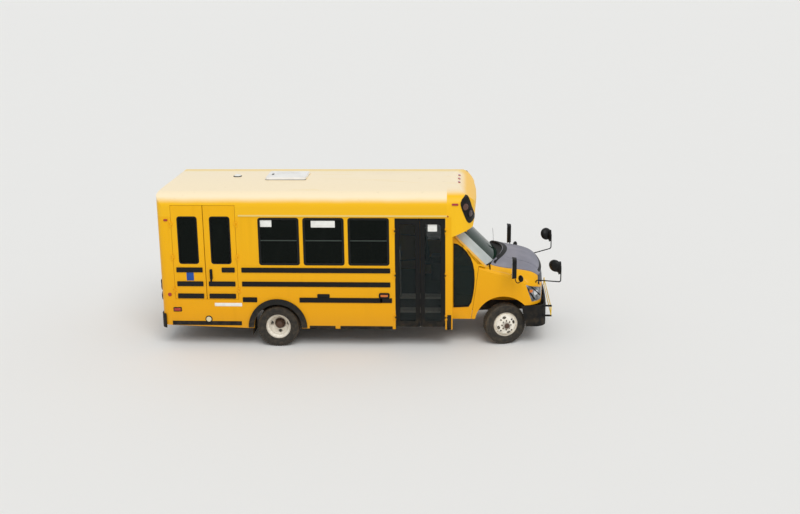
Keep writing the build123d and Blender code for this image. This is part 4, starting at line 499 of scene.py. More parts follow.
class Look(Enum):
    """The finishes of the bus, by what they are on."""

    YELLOW = BodyPaint("bus_yellow_enamel")
    LIFT_DOOR = BodyPaint("lift_door_enamel", black_rows=((1.38, 1.476), (1.124, 1.22), (0.898, 0.994)))
    ROOF = RoofPaint("roof_enamel_painted_highlight")
    # The cap uses the roof's painted pale sky highlight on its upper crown; its front and sides keep the
    # golden paint.
    CAP = RoofPaint("cap_gelcoat", golden=screen(247, 190, 14), cove_z=2.76, cove_blend=0.1, roughness=0.42)
    HATCH = Coating("hatch_white", screen(238, 236, 232), screen(214, 208, 198), 0.5, 4.0, roughness=0.4)
    HOOD = Coating(
        "slate_hood_coat", screen(128, 128, 138), screen(158, 156, 166), 0.7, 2.0, roughness=0.62,
        dust_share=0.0,
    )
    SLATE = Coating("slate_nose_panel", screen(72, 74, 82), screen(96, 96, 102), 0.5, 5.0, roughness=0.55)
    BLACK = Coating("black_enamel", screen(12, 13, 12), screen(28, 28, 26), 0.4, 6.0, roughness=0.38)
    RAIL = Coating("rail_black", screen(12, 12, 12), screen(28, 27, 25), 0.35, 5.0, roughness=0.42)
    TRIM = Coating("black_moulding", screen(14, 14, 14), screen(34, 34, 32), 0.5, 9.0, roughness=0.6)
    RUBBER = Coating("black_rubber_seal", screen(20, 20, 20), screen(36, 36, 34), 0.4, 20.0, roughness=0.75)
    FLARE = Coating(
        "flare_rubber", screen(28, 28, 27), screen(50, 48, 44), 0.5, 8.0, dust_share=0.35, roughness=0.7
    )
    FRAME = Coating("dark_window_frame", screen(12, 14, 13), screen(26, 30, 28), 0.4, 9.0, roughness=0.4)
    SASH = Coating(
        "sash_bar", screen(74, 86, 78), screen(56, 62, 58), 0.5, 12.0, roughness=0.35, metallic=0.4
    )
    CHASSIS = Coating(
        "chassis_black", screen(30, 29, 28), screen(62, 52, 44), 0.6, 6.0, dust_share=0.5, roughness=0.7
    )
    IRON = Coating(
        "rusted_iron", screen(58, 50, 45), screen(96, 62, 42), 0.6, 11.0, dust_share=0.5, roughness=0.8
    )
    STEEL = Coating(
        "seat_tube_steel", screen(70, 72, 74), screen(98, 98, 98), 0.4, 8.0, roughness=0.45, metallic=0.6
    )
    BRIGHT = Coating(
        "brushed_rail", screen(196, 190, 180), screen(160, 154, 144), 0.5, 9.0, roughness=0.3, metallic=0.85
    )
    FLOOR = Coating(
        "ribbed_floor", screen(66, 66, 66), screen(96, 92, 86), 0.6, 5.0, dust_share=0.3, roughness=0.75
    )
    NOSING = Coating("step_nosing", screen(212, 206, 192), screen(160, 150, 132), 0.5, 18.0, roughness=0.6)
    DASH = Coating(
        "dash_moulding", screen(58, 58, 60), screen(74, 73, 72), 0.4, 6.0, roughness=0.65, grain=500.0
    )
    PLATE = Coating("blank_plate", screen(236, 236, 230), screen(206, 204, 196), 0.4, 10.0, roughness=0.45)
    BLUE = Coating("blank_blue_square", screen(34, 74, 150), screen(52, 92, 166), 0.4, 12.0, roughness=0.45)
    CREAM = Coating("cream_cap", screen(226, 214, 178), screen(196, 180, 140), 0.5, 20.0, roughness=0.45)
    SIGN = Coating("blank_stop_red", screen(190, 26, 26), screen(158, 22, 22), 0.4, 6.0, roughness=0.4)
    SIGN_EDGE = Coating(
        "sign_border_white", screen(236, 234, 228), screen(210, 206, 196), 0.4, 9.0, roughness=0.4
    )
    ARM = Coating("arm_yellow", screen(238, 196, 30), screen(206, 160, 20), 0.4, 6.0, roughness=0.4)
    SEAM = Coating("seam_dark", screen(78, 36, 16), screen(44, 24, 14), 0.6, 10.0, roughness=0.8)
    MIRROR = Coating(
        "mirror_face", screen(214, 220, 224), screen(190, 198, 204), 0.2, 3.0, roughness=0.04, metallic=1.0
    )
    CHROME = Coating(
        "lamp_reflector", screen(226, 228, 230), screen(190, 192, 196), 0.3, 9.0, roughness=0.12, metallic=1.0
    )
    SIDE_GLASS = BusGlass("passenger_glass", screen(12, 17, 14), 0.9)
    CAB_GLASS = Glass("cab_glass", screen(22, 34, 31), 0.66)
    DOOR_GLASS = Glass("door_glass", screen(28, 36, 36), 0.42)
    CLEAR = Coating(
        "clear_lens", screen(92, 94, 96), screen(206, 210, 212), 0.8, 11.0,
        dust_share=0.0, roughness=0.18, metallic=0.35,
    )
    RED = Lens("red_lens", screen(196, 26, 18), screen(110, 8, 6))
    AMBER = Lens("amber_lens", screen(240, 130, 14), screen(170, 70, 4))
    AMBER_OFF = Lens("amber_lens_dark", screen(104, 48, 14), screen(22, 8, 3))
    RED_OFF = Lens("red_lens_dark", screen(60, 12, 10), screen(12, 3, 3))
    SEAT = Vinyl("seat_vinyl")
    CUSHION = Vinyl("driver_vinyl", screen(36, 38, 42), screen(70, 72, 76))

    def material(self) -> bpy.types.Material:
        """The finish's material."""
        return self.value.material()


@dataclass(frozen=True)
class Face:
    """A flat reference on the bus: where it is, which way it runs and which way is outward."""

    origin: Point3
    right: Point3
    up: Point3
    out: Point3

    def at(self, u: float, v: float, w: float = 0.0) -> Vector:
        """The point u along, v up and w outward from the origin."""
        return Vector(self.origin) + Vector(self.right) * u + Vector(self.up) * v + Vector(self.out) * w


RIGHT_WALL = Face((0, -1.219, 0), (1, 0, 0), (0, 0, 1), (0, -1, 0))
LEFT_WALL = Face((0, 1.219, 0), (1, 0, 0), (0, 0, 1), (0, 1, 0))
REAR_WALL = Face((-3.53, 0, 0), (0, 1, 0), (0, 0, 1), (-1, 0, 0))
FROM_ABOVE = Face((0, 0, 3.0), (1, 0, 0), (0, 1, 0), (0, 0, 1))
FROM_AHEAD = Face((3.0, 0, 0), (0, 1, 0), (0, 0, 1), (1, 0, 0))

SKIN = 0.0002  # how far the back of a flat fitting stands off its wall
CREASE = 28.0  # the angle past which an edge of a remade node stays sharp, in degrees


def rounded(centre: Point2, width: float, height: float, radius: float, steps: int = 5) -> list[Point2]:
    """A rectangle with rounded corners.

    Args:
        centre: its middle.
        width, height: its outer size.
        radius: corner radius.
        steps: points to each corner, less one.

    Returns:
        The outline, going round once.
    """
    radius = min(radius, width / 2 - 1e-5, height / 2 - 1e-5)
    points = []
    for quarter, (sx, sy) in enumerate(((1, 1), (-1, 1), (-1, -1), (1, -1))):
        cx = centre[0] + sx * (width / 2 - radius)
        cy = centre[1] + sy * (height / 2 - radius)
        for step in range(steps + 1):
            angle = math.pi / 2 * (quarter + step / steps)
            points.append((cx + radius * math.cos(angle), cy + radius * math.sin(angle)))
    return points


def disc(centre: Point2, radius: float, steps: int = 28) -> list[Point2]:
    """A round outline."""
    turns = [2 * math.pi * step / steps for step in range(steps)]
    return [(centre[0] + radius * math.cos(turn), centre[1] + radius * math.sin(turn)) for turn in turns]


def moved_in(outline: Sequence[Point2], inset: float) -> list[Point2]:
    """Move every side of an outline inward by inset."""
    area = sum(a[0] * b[1] - b[0] * a[1] for a, b in zip(outline, [*outline[1:], outline[0]]))
    sign = 1.0 if area > 0 else -1.0
    result = []
    for index, point in enumerate(outline):
        before = Vector(point) - Vector(outline[index - 1])
        after = Vector(outline[(index + 1) % len(outline)]) - Vector(point)
        edges = [edge for edge in (before, after) if edge.length > 1e-9]
        normals = [Vector((-edge.y, edge.x)).normalized() * sign for edge in edges]
        middle = sum(normals, Vector((0, 0)))
        if middle.length < 1e-6:
            result.append(tuple(point))
            continue
        middle.normalize()
        reach = inset / max(0.35, middle.dot(normals[0]))
        result.append(tuple(Vector(point) + middle * reach))
    return result


def sheet_faces(cells: Sequence[Sequence[int]], count: int) -> list[tuple[int, ...]]:
    """Close a thin sheet whose back repeats its top's points.

    Args:
        cells: the top's faces.
        count: how many points the top has.

    Returns:
        The faces of the top, of the back and of the strip along every open edge.
    """
    faces = []
    for cell in cells:
        faces.append(tuple(cell))
        faces.append(tuple(index + count for index in (cell[0], *reversed(cell[1:]))))
    uses = {(a, b): None for cell in cells for a, b in zip(cell, [*cell[1:], cell[0]])}
    rim = {a: b for a, b in uses if (b, a) not in uses}
    while rim:
        here = next(iter(rim))
        while here in rim:
            there = rim.pop(here)
            faces.append((here, there, there + count, here + count))
            here = there
    return faces


def inside(point: Point2, outline: Sequence[Point2]) -> bool:
    """Whether a point lies within an outline."""
    within = False
    for (ax, ay), (bx, by) in zip(outline, [*outline[1:], outline[0]]):
        if (ay > point[1]) != (by > point[1]) and point[0] < (bx - ax) * (point[1] - ay) / (by - ay) + ax:
            within = not within
    return within


class Piece:
    """Closed shapes gathered into one mesh that rides on one body."""

    def __init__(self, name: str, body: str, slot: str, looks: Sequence[Look]) -> None:
        """Start an empty piece.

        Args:
            name: the object's name.
            body: the body it rides on.
            slot: the name of its material slot.
            looks: its finishes, in the order of their numbers.
        """
        self.name = name
        self.body = body
        self.slot = slot
        self.looks = list(looks)
        self.mesh = bmesh.new()

    def add(self, points: Sequence[Vector], faces: Sequence[Sequence[int]], look: Look) -> None:
        """Add one closed shape, with its faces turned outward."""
        if look not in self.looks:
            self.looks.append(look)
        verts = [self.mesh.verts.new(point) for point in points]
        made = []
        for corners in faces:
            if len(set(corners)) > 2:
                made.append(self.mesh.faces.new([verts[index] for index in corners]))
        for face in made:
            face.material_index = self.looks.index(look)
            face.smooth = True
        bmesh.ops.recalc_face_normals(self.mesh, faces=made)

    def rings(self, rings: Sequence[Sequence[Vector]], look: Look, joined: bool = False) -> None:
        """Skin a row of closed rings, capping the ends unless the row closes on itself."""
        count = len(rings[0])
        points = [point for ring in rings for point in ring]
        faces = []
        spans = len(rings) if joined else len(rings) - 1
        for row in range(spans):
            here, there = row * count, (row + 1) % len(rings) * count
            for index in range(count):
                after = (index + 1) % count
                faces.append((here + index, here + after, there + after, there + index))
        if not joined:
            faces.append(tuple(range(count))[::-1])
            faces.append(tuple(range(len(points) - count, len(points))))
        self.add(points, faces, look)

    def slab(
        self, face: Face, outline: Sequence[Point2], low: float, high: float, look: Look, bevel: float = 0.0
    ) -> None:
        """A plate on a face, from low to high outward, its outer edge eased by bevel."""
        rows = [(outline, low)]
        if bevel:
            rows.append((outline, high - bevel))
            rows.append((moved_in(outline, bevel * 0.4), high - bevel * 0.35))
            rows.append((moved_in(outline, bevel), high))
        else:
            rows.append((outline, high))
        self.rings([[face.at(u, v, w) for u, v in line] for line, w in rows], look)

    def plate(
        self,
        face: Face,
        middle: Point2,
        size: Point2,
        corner: float,
        high: float,
        look: Look,
        bevel: float = 0.0,
        low: float = SKIN,
    ) -> None:
        """A slab with rounded corners.

        Args:
            face: the face it stands on.
            middle: its middle there.
            size: its width and height.
            corner: its corner radius.
            high, low: how far its front and its back stand out.
            look: its finish.
            bevel: how far its front edge is eased.
        """
        self.slab(face, rounded(middle, *size, corner), low, high, look, bevel)

    def ring_slab(
        self, face: Face, outer: Sequence[Point2], width: float, low: float, high: float, look: Look
    ) -> None:
        """A frame of one width round an outline, with softened outer edges."""
        inner = moved_in(outer, width)
        ease = min(width, high - low) * 0.3
        section = [
            (outer, low),
            (outer, high - ease),
            (moved_in(outer, ease), high),
            (moved_in(outer, width - ease), high),
            (inner, high - ease),
            (inner, low),
        ]
        rows = [[face.at(u, v, w) for u, v in line] for line, w in section]
        self.rings(rows, look, joined=True)

    def tube(
        self, route: Sequence[Point3], radius: float, look: Look, sides: int = 12, closed: bool = False
    ) -> None:
        """A round bar along a route of points."""
        path = [Vector(point) for point in route]
        count = len(path)
        rings = []
        normal = None
        for index, point in enumerate(path):
            if closed:
                along = path[(index + 1) % count] - path[index - 1]
            else:
                along = path[min(index + 1, count - 1)] - path[max(index - 1, 0)]
            along.normalize()
            if normal is None:
                normal = along.orthogonal().normalized()
            normal = (normal - along * normal.dot(along)).normalized()
            across = along.cross(normal)
            turns = [2 * math.pi * side / sides for side in range(sides)]
            rings.append([point + (normal * math.cos(t) + across * math.sin(t)) * radius for t in turns])
        self.rings(rings, look, joined=closed)

    def turned(
        self, profile: Sequence[Point2], centre: Point3, axis: Point3, look: Look, segments: int = 40
    ) -> None:
        """A closed section of radius and height turned about an axis through centre."""
        along = Vector(axis).normalized()
        across = along.orthogonal().normalized()
        third = along.cross(across)
        rings = []
        for step in range(segments):
            turn = 2 * math.pi * step / segments
            arm = across * math.cos(turn) + third * math.sin(turn)
            spots = [along * height + arm * max(radius, 1e-4) for radius, height in profile]
            rings.append([Vector(centre) + spot for spot in spots])
        self.rings(rings, look, joined=True)

    def draped(
        self,
        face: Face,
        outline: Sequence[Point2],
        target: "Surface",
        lift: float,
        look: Look,
        pitch: float = 0.05,
        sink: float = 0.004,
    ) -> None:
        """A thin patch laid on a curved surface.

        Args:
            face: the flat reference that the outline is drawn on.
            outline: its outline there.
            target: the surface it lies on, found by looking in from the face.
            lift: how far it stands off.
            look: its finish.
            pitch: the spacing of its inner points.
            sink: how far its back lies under the surface.
        """
        edge = [Vector(point) for point in spaced(outline, pitch, closed=True)]
        low_u = min(point.x for point in edge)
        high_u = max(point.x for point in edge)
        low_v = min(point.y for point in edge)
        high_v = max(point.y for point in edge)
        inner = []
        rim = [tuple(point) for point in edge]
        for column in range(1, int((high_u - low_u) / pitch) + 1):
            for row in range(1, int((high_v - low_v) / pitch) + 1):
                spot = Vector((low_u + column * pitch, low_v + row * pitch))
                near = min((spot - point).length for point in edge)
                if near > pitch * 0.45 and inside(tuple(spot), rim):
                    inner.append(spot)
        links = [(index, (index + 1) % len(edge)) for index in range(len(edge))]
        spots, _, cells, *_ = delaunay_2d_cdt(edge + inner, links, [], 1, 1e-6)
        tops, backs = [], []
        for spot in spots:
            place, normal = target.under(face, spot.x, spot.y)
            tops.append(place + normal * lift)
            backs.append(place - normal * sink)
        self.add(tops + backs, sheet_faces(cells, len(spots)), look)

    def done(self, replaces: Sequence[str] = (), crease: float = 32.0) -> bpy.types.Object:
        """Make the object, put it on its body and report it.

        Args:
            replaces: CAD nodes that it stands for.
            crease: the angle past which an edge stays sharp, in degrees.

        Returns:
            The finished object.
        """
        mesh = written(self.mesh, self.name)
        for look in self.looks:
            mesh.materials.append(look.material())
        mesh.set_sharp_from_angle(angle=math.radians(crease))
        item = linked(self.name, mesh)
        seat(item, self.body, self.slot, replaces)
        return item


def written(whole: bmesh.types.BMesh, name: str) -> bpy.types.Mesh:
    """Write a working mesh out as a plain one and free it."""
    mesh = bpy.data.meshes.new(name)
    whole.to_mesh(mesh)
    whole.free()
    return mesh


def linked(name: str, mesh: bpy.types.Mesh) -> bpy.types.Object:
    """Put a mesh in the scene under a name."""
    item = bpy.data.objects.new(name, mesh)
    bpy.context.scene.collection.objects.link(item)
    return item


def coated(mesh: bpy.types.Mesh, material: bpy.types.Material) -> None:
    """Give a whole mesh one material and smooth faces, with its creases sharp."""
    mesh.materials.clear()
    mesh.materials.append(material)
    for polygon in mesh.polygons:
        polygon.material_index = 0
        polygon.use_smooth = True
    mesh.set_sharp_from_angle(angle=math.radians(CREASE))


def joined(mesh: bpy.types.Mesh, addition: bpy.types.Mesh) -> None:
    """Add a second mesh's shapes to the first."""
    whole = bmesh.new()
    whole.from_mesh(mesh)
    whole.from_mesh(addition)
    whole.to_mesh(mesh)
    whole.free()


def seat(item: bpy.types.Object, body: str, slot: str, replaces: Sequence[str] = ()) -> None:
    """Put an object on its body, hide the nodes it replaces and report it."""
    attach(item, body)
    if replaces:
        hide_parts(*replaces)
    triangles = sum(len(polygon.vertices) - 2 for polygon in item.data.polygons)
    log.info("%s on %s: %d triangles", item.name, body, triangles)


def spaced(route: Sequence[Point2], pitch: float, closed: bool = False) -> list[Point2]:
    """Add points to a route so that none lie further apart than pitch."""
    ends = [*route[1:], route[0]] if closed else route[1:]
    result = []
    for start, end in zip(route, ends):
        steps = max(1, math.ceil((Vector(end) - Vector(start)).length / pitch))
        for step in range(steps):
            share = step / steps
            result.append(tuple(a + (b - a) * share for a, b in zip(start, end)))
    if not closed:
        result.append(tuple(route[-1]))
    return result


def ribbon(route: Sequence[Point2], width: float) -> list[Point2]:
    """The outline of a line of one width along a route."""
    left, right = [], []
    for index, point in enumerate(route):
        after = Vector(route[min(index + 1, len(route) - 1)])
        before = Vector(route[max(index - 1, 0)])
        along = (after - before).normalized()
        across = Vector((-along.y, along.x)) * width / 2
        left.append(tuple(Vector(point) + across))
        right.append(tuple(Vector(point) - across))
    return left + right[::-1]


remade: dict[str, bpy.types.Mesh] = {}


class Surface:
    """Nodes that trim is laid on, as they show: the remade mesh where there is one."""

    def __init__(self, *nodes: str) -> None:
        """Read the nodes' meshes once."""
        points: list[Vector] = []
        faces: list[tuple[int, ...]] = []
        for node in nodes:
            mesh = remade.get(node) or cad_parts[node].data
            first = len(points)
            points += [vertex.co.copy() for vertex in mesh.vertices]
            faces += [tuple(first + index for index in polygon.vertices) for polygon in mesh.polygons]
        self.tree = BVHTree.FromPolygons(points, faces)

    def under(self, face: Face, u: float, v: float) -> tuple[Vector, Vector]:
        """The point of the surface that lies in from a face, and its outward normal."""
        inward = -Vector(face.out)
        start = face.at(u, v, 1.5)
        place, normal, _, _ = self.tree.ray_cast(start, inward)
        if place is None:
            place, normal, _, _ = self.tree.find_nearest(face.at(u, v, 0.0))
        if normal.dot(inward) > 0:
            normal = -normal
        return place, normal


@dataclass
class Repeater:
    """A geometry tree that sets hexagonal nuts along the piece's own lines.

    A nut's Z follows the given outward direction, and its X follows the line.
    """

    size: Point3
    spacing: float
    look: Look
    outward: Point3 = (0, 0, 1)

    def _tree(self) -> bpy.types.GeometryNodeTree:
        """Build the tree with its named inputs."""
        tree = bpy.data.node_groups.new("set_out_nut", "GeometryNodeTree")
        sockets = (("Lines", "Geometry"), ("Spacing", "Float"), ("Size", "Vector"), ("Outward", "Vector"))
        for name, kind in sockets:
            tree.interface.new_socket(name, in_out="INPUT", socket_type="NodeSocket" + kind)
        tree.interface.new_socket("Pieces", in_out="OUTPUT", socket_type="NodeSocketGeometry")
        kinds = {
            "start": "NodeGroupInput",
            "end": "NodeGroupOutput",
            "curve": "GeometryNodeMeshToCurve",
            "resample": "GeometryNodeResampleCurve",
            "points": "GeometryNodeCurveToPoints",
            "tangent": "GeometryNodeInputTangent",
            "align": "FunctionNodeAxesToRotation",
            "set": "GeometryNodeInstanceOnPoints",
            "realise": "GeometryNodeRealizeInstances",
            "coat": "GeometryNodeSetMaterial",
            "scaled": "GeometryNodeTransform",
            "nut": "GeometryNodeMeshCylinder",
            "capture": "GeometryNodeCaptureAttribute",
        }
        nodes = {label: tree.nodes.new(kind) for label, kind in kinds.items()}
        nodes["resample"].mode = "LENGTH"
        nodes["points"].mode = "EVALUATED"
        nodes["align"].primary_axis, nodes["align"].secondary_axis = "Z", "X"
        nodes["coat"].inputs["Material"].default_value = self.look.material()
        for name, value in (("Vertices", 6), ("Radius", 0.5), ("Depth", 1.0)):
            nodes["nut"].inputs[name].default_value = value
        nodes["capture"].capture_items.new("VECTOR", "Along")
        for source, output, target, socket in (
            ("start", "Lines", "curve", 0),
            ("curve", 0, "resample", "Curve"),
            ("start", "Spacing", "resample", "Length"),
            ("resample", 0, "capture", 0),
            ("tangent", 0, "capture", 1),
            ("capture", 0, "points", 0),
            ("start", "Outward", "align", 0),
            ("capture", 1, "align", 1),
            ("nut", 0, "scaled", 0),
            ("start", "Size", "scaled", "Scale"),
            ("points", 0, "set", "Points"),
            ("scaled", 0, "set", "Instance"),
            ("align", 0, "set", "Rotation"),
            ("set", 0, "realise", 0),
            ("realise", 0, "coat", "Geometry"),
            ("coat", 0, "end", 0),
        ):
            tree.links.new(nodes[source].outputs[output], nodes[target].inputs[socket])
        return tree

    def meshes(self, routes: Sequence[Sequence[Point3]]) -> bpy.types.Mesh:
        """Set nuts out along open routes of points.

        Args:
            routes: the lines, each as its points.

        Returns:
            A plain mesh with the finish on it.
        """
        base = bpy.data.meshes.new("lines")
        points, edges = [], []
        for route in routes:
            first = len(points)
            points += [tuple(point) for point in route]
            edges += [(first + index, first + index + 1) for index in range(len(route) - 1)]
        base.from_pydata(points, edges, [])
        holder = linked("lines", base)
        tree = self._tree()
        change = holder.modifiers.new("set_out", "NODES")
        change.node_group = tree
        values = {"Spacing": self.spacing, "Size": self.size, "Outward": self.outward}
        for item in tree.interface.items_tree:
            if item.in_out == "INPUT" and item.name in values:
                change[item.identifier] = values[item.name]
        graph = bpy.context.evaluated_depsgraph_get()
        made = bpy.data.meshes.new_from_object(holder.evaluated_get(graph))
        bpy.data.objects.remove(holder)
        return made


def set_out(
    name: str, body: str, slot: str, repeaters: Sequence[tuple[Repeater, Sequence[Sequence[Point3]]]]
) -> bpy.types.Object:
    """Make one piece of repeated nuts.

    Args:
        name: the object's name.
        body: the body it rides on.
        slot: its material slot.
        repeaters: each repeater with its routes.

    Returns:
        The finished object.
    """
    whole = bmesh.new()
    looks: list[bpy.types.Material] = []
    for repeater, routes in repeaters:
        made = repeater.meshes(routes)
        material = repeater.look.material()
        if material not in looks:
            looks.append(material)
        before = len(whole.faces)
        whole.from_mesh(made)
        whole.faces.ensure_lookup_table()
        for face in whole.faces[before:]:
            face.material_index = looks.index(material)
            face.smooth = False
    mesh = written(whole, name)
    for material in looks:
        mesh.materials.append(material)
    item = linked(name, mesh)
    seat(item, body, slot)
    return item


@dataclass
class Studio:
    """The floor, the light and the camera."""

    camera_place: Point3 = (1.866, -19.882, 6.77)
    yaw: float = math.radians(-3.44)
    pitch: float = math.radians(15.23)
    roll: float = math.radians(-0.64)
    lens: float = 50.0
    floor_half: float = 400.0
    sky_light: float = 0.62
    sky_seen: float = 0.95
    sun_light: float = 1.45
    sun_spread: float = math.radians(38)

    def build(self) -> None:
        """Set up the whole studio."""
        bpy.context.scene.view_settings.view_transform = "Standard"
        self._floor()
        self._light()
        self._camera()

    def _camera(self) -> None:
        """Place the camera at the photograph's viewing angle."""
        flat = math.cos(self.pitch)
        forward = Vector((math.sin(self.yaw) * flat, math.cos(self.yaw) * flat, -math.sin(self.pitch)))
        level = Vector((math.cos(self.yaw), -math.sin(self.yaw), 0))
        above = level.cross(forward)
        right = level * math.cos(self.roll) + above * math.sin(self.roll)
        up = above * math.cos(self.roll) - level * math.sin(self.roll)
        data = bpy.data.cameras.new("view")
        data.lens = self.lens
        data.sensor_width = 36.0
        data.clip_end = 1000.0
        camera = bpy.data.objects.new("view", data)
        turn = Matrix((right, up, -forward)).transposed().to_4x4()
        camera.matrix_world = Matrix.Translation(self.camera_place) @ turn
        bpy.context.scene.collection.objects.link(camera)
        bpy.context.scene.camera = camera

    def _floor(self) -> None:
        """Lay a plain pale floor."""
        half = self.floor_half
        mesh = bpy.data.meshes.new("studio_floor")
        corners = [(-half, -half, 0), (half, -half, 0), (half, half, 0), (-half, half, 0)]
        mesh.from_pydata(corners, [], [(0, 1, 2, 3)])
        material = bpy.data.materials.new("studio_floor")
        graph = Graph(material)
        grain = graph.noise(0.6, 4.0) * 0.03
        colour = graph.mix(grain, screen(236, 235, 232), screen(200, 199, 196))
        graph.surface(colour, 0.9)
        mesh.materials.append(material)
        linked("studio_floor", mesh)

    def _light(self) -> None:
        """Give an even sky and one broad soft sun."""
        world = bpy.data.worlds.new("sky")
        bpy.context.scene.world = world
        world.use_nodes = True
        tree = world.node_tree
        tree.nodes.clear()
        rays = tree.nodes.new("ShaderNodeLightPath")
        seen = rays.outputs["Is Camera Ray"]
        for kind in ("Is Glossy Ray", "Is Transmission Ray"):
            either = tree.nodes.new("ShaderNodeMath")
            either.operation = "MAXIMUM"
            tree.links.new(seen, either.inputs[0])
            tree.links.new(rays.outputs[kind], either.inputs[1])
            seen = either.outputs[0]
        strength = tree.nodes.new("ShaderNodeMapRange")
        tree.links.new(seen, strength.inputs[0])
        strength.inputs[3].default_value = self.sky_light
        strength.inputs[4].default_value = self.sky_seen
        sky = tree.nodes.new("ShaderNodeBackground")
        sky.inputs["Color"].default_value = (0.97, 0.985, 1.0, 1.0)
        tree.links.new(strength.outputs[0], sky.inputs["Strength"])
        out = tree.nodes.new("ShaderNodeOutputWorld")
        tree.links.new(sky.outputs[0], out.inputs[0])
        data = bpy.data.lights.new("soft_sun", "SUN")
        data.energy = self.sun_light
        data.angle = self.sun_spread
        sun = bpy.data.objects.new("soft_sun", data)
        sun.rotation_euler = Vector((-0.35, 1.0, -1.25)).to_track_quat("-Z", "Y").to_euler()
        bpy.context.scene.collection.objects.link(sun)


class CarriedNodes:
    """Finishes for the CAD nodes that stay in view."""

    looks: dict[Look, str] = {
        Look.YELLOW: "body_rear body_side_left body_side_right cab_shell driver_door nose_fenders rear_door",
        Look.LIFT_DOOR: "lift_door_front lift_door_rear",
        Look.BLACK: "entrance_leaf_front entrance_leaf_rear",
        Look.ROOF: "body_roof",
        Look.CAP: "front_cap",
        Look.HATCH: "roof_hatch",
        Look.HOOD: "hood",
        Look.TRIM: "bumpers arm_mounts mirrors",
        Look.RAIL: "rub_rails",
        Look.FRAME: "window_frames",
        Look.CHASSIS: "chassis_frame cross_members fuel_tank",
        Look.IRON: "front_axle rear_axle knuckle_left knuckle_right power_unit",
        Look.FLARE: "arch_trim",
        Look.SLATE: "grille",
        Look.DASH: "dashboard",
        Look.STEEL: "seat_frames",
        Look.FLOOR: "body_floor",
        Look.SIDE_GLASS: "window_glass",
        Look.CLEAR: "headlamps",
        Look.RED: "red_lamps",
        Look.AMBER: "amber_lamps",
        Look.SIGN: "stop_arm",
        Look.ARM: "crossing_arm",
    }

    def dress(self) -> None:
        """Put each finish on its nodes' slots."""
        for look, nodes in self.looks.items():
            for node in nodes.split():
                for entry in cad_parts[node].material_slots:
                    entry.material = look.material()


MIDDLE_LUG, SHOULDER_LUG = 0.036, 0.041  # how wide the tread blocks are


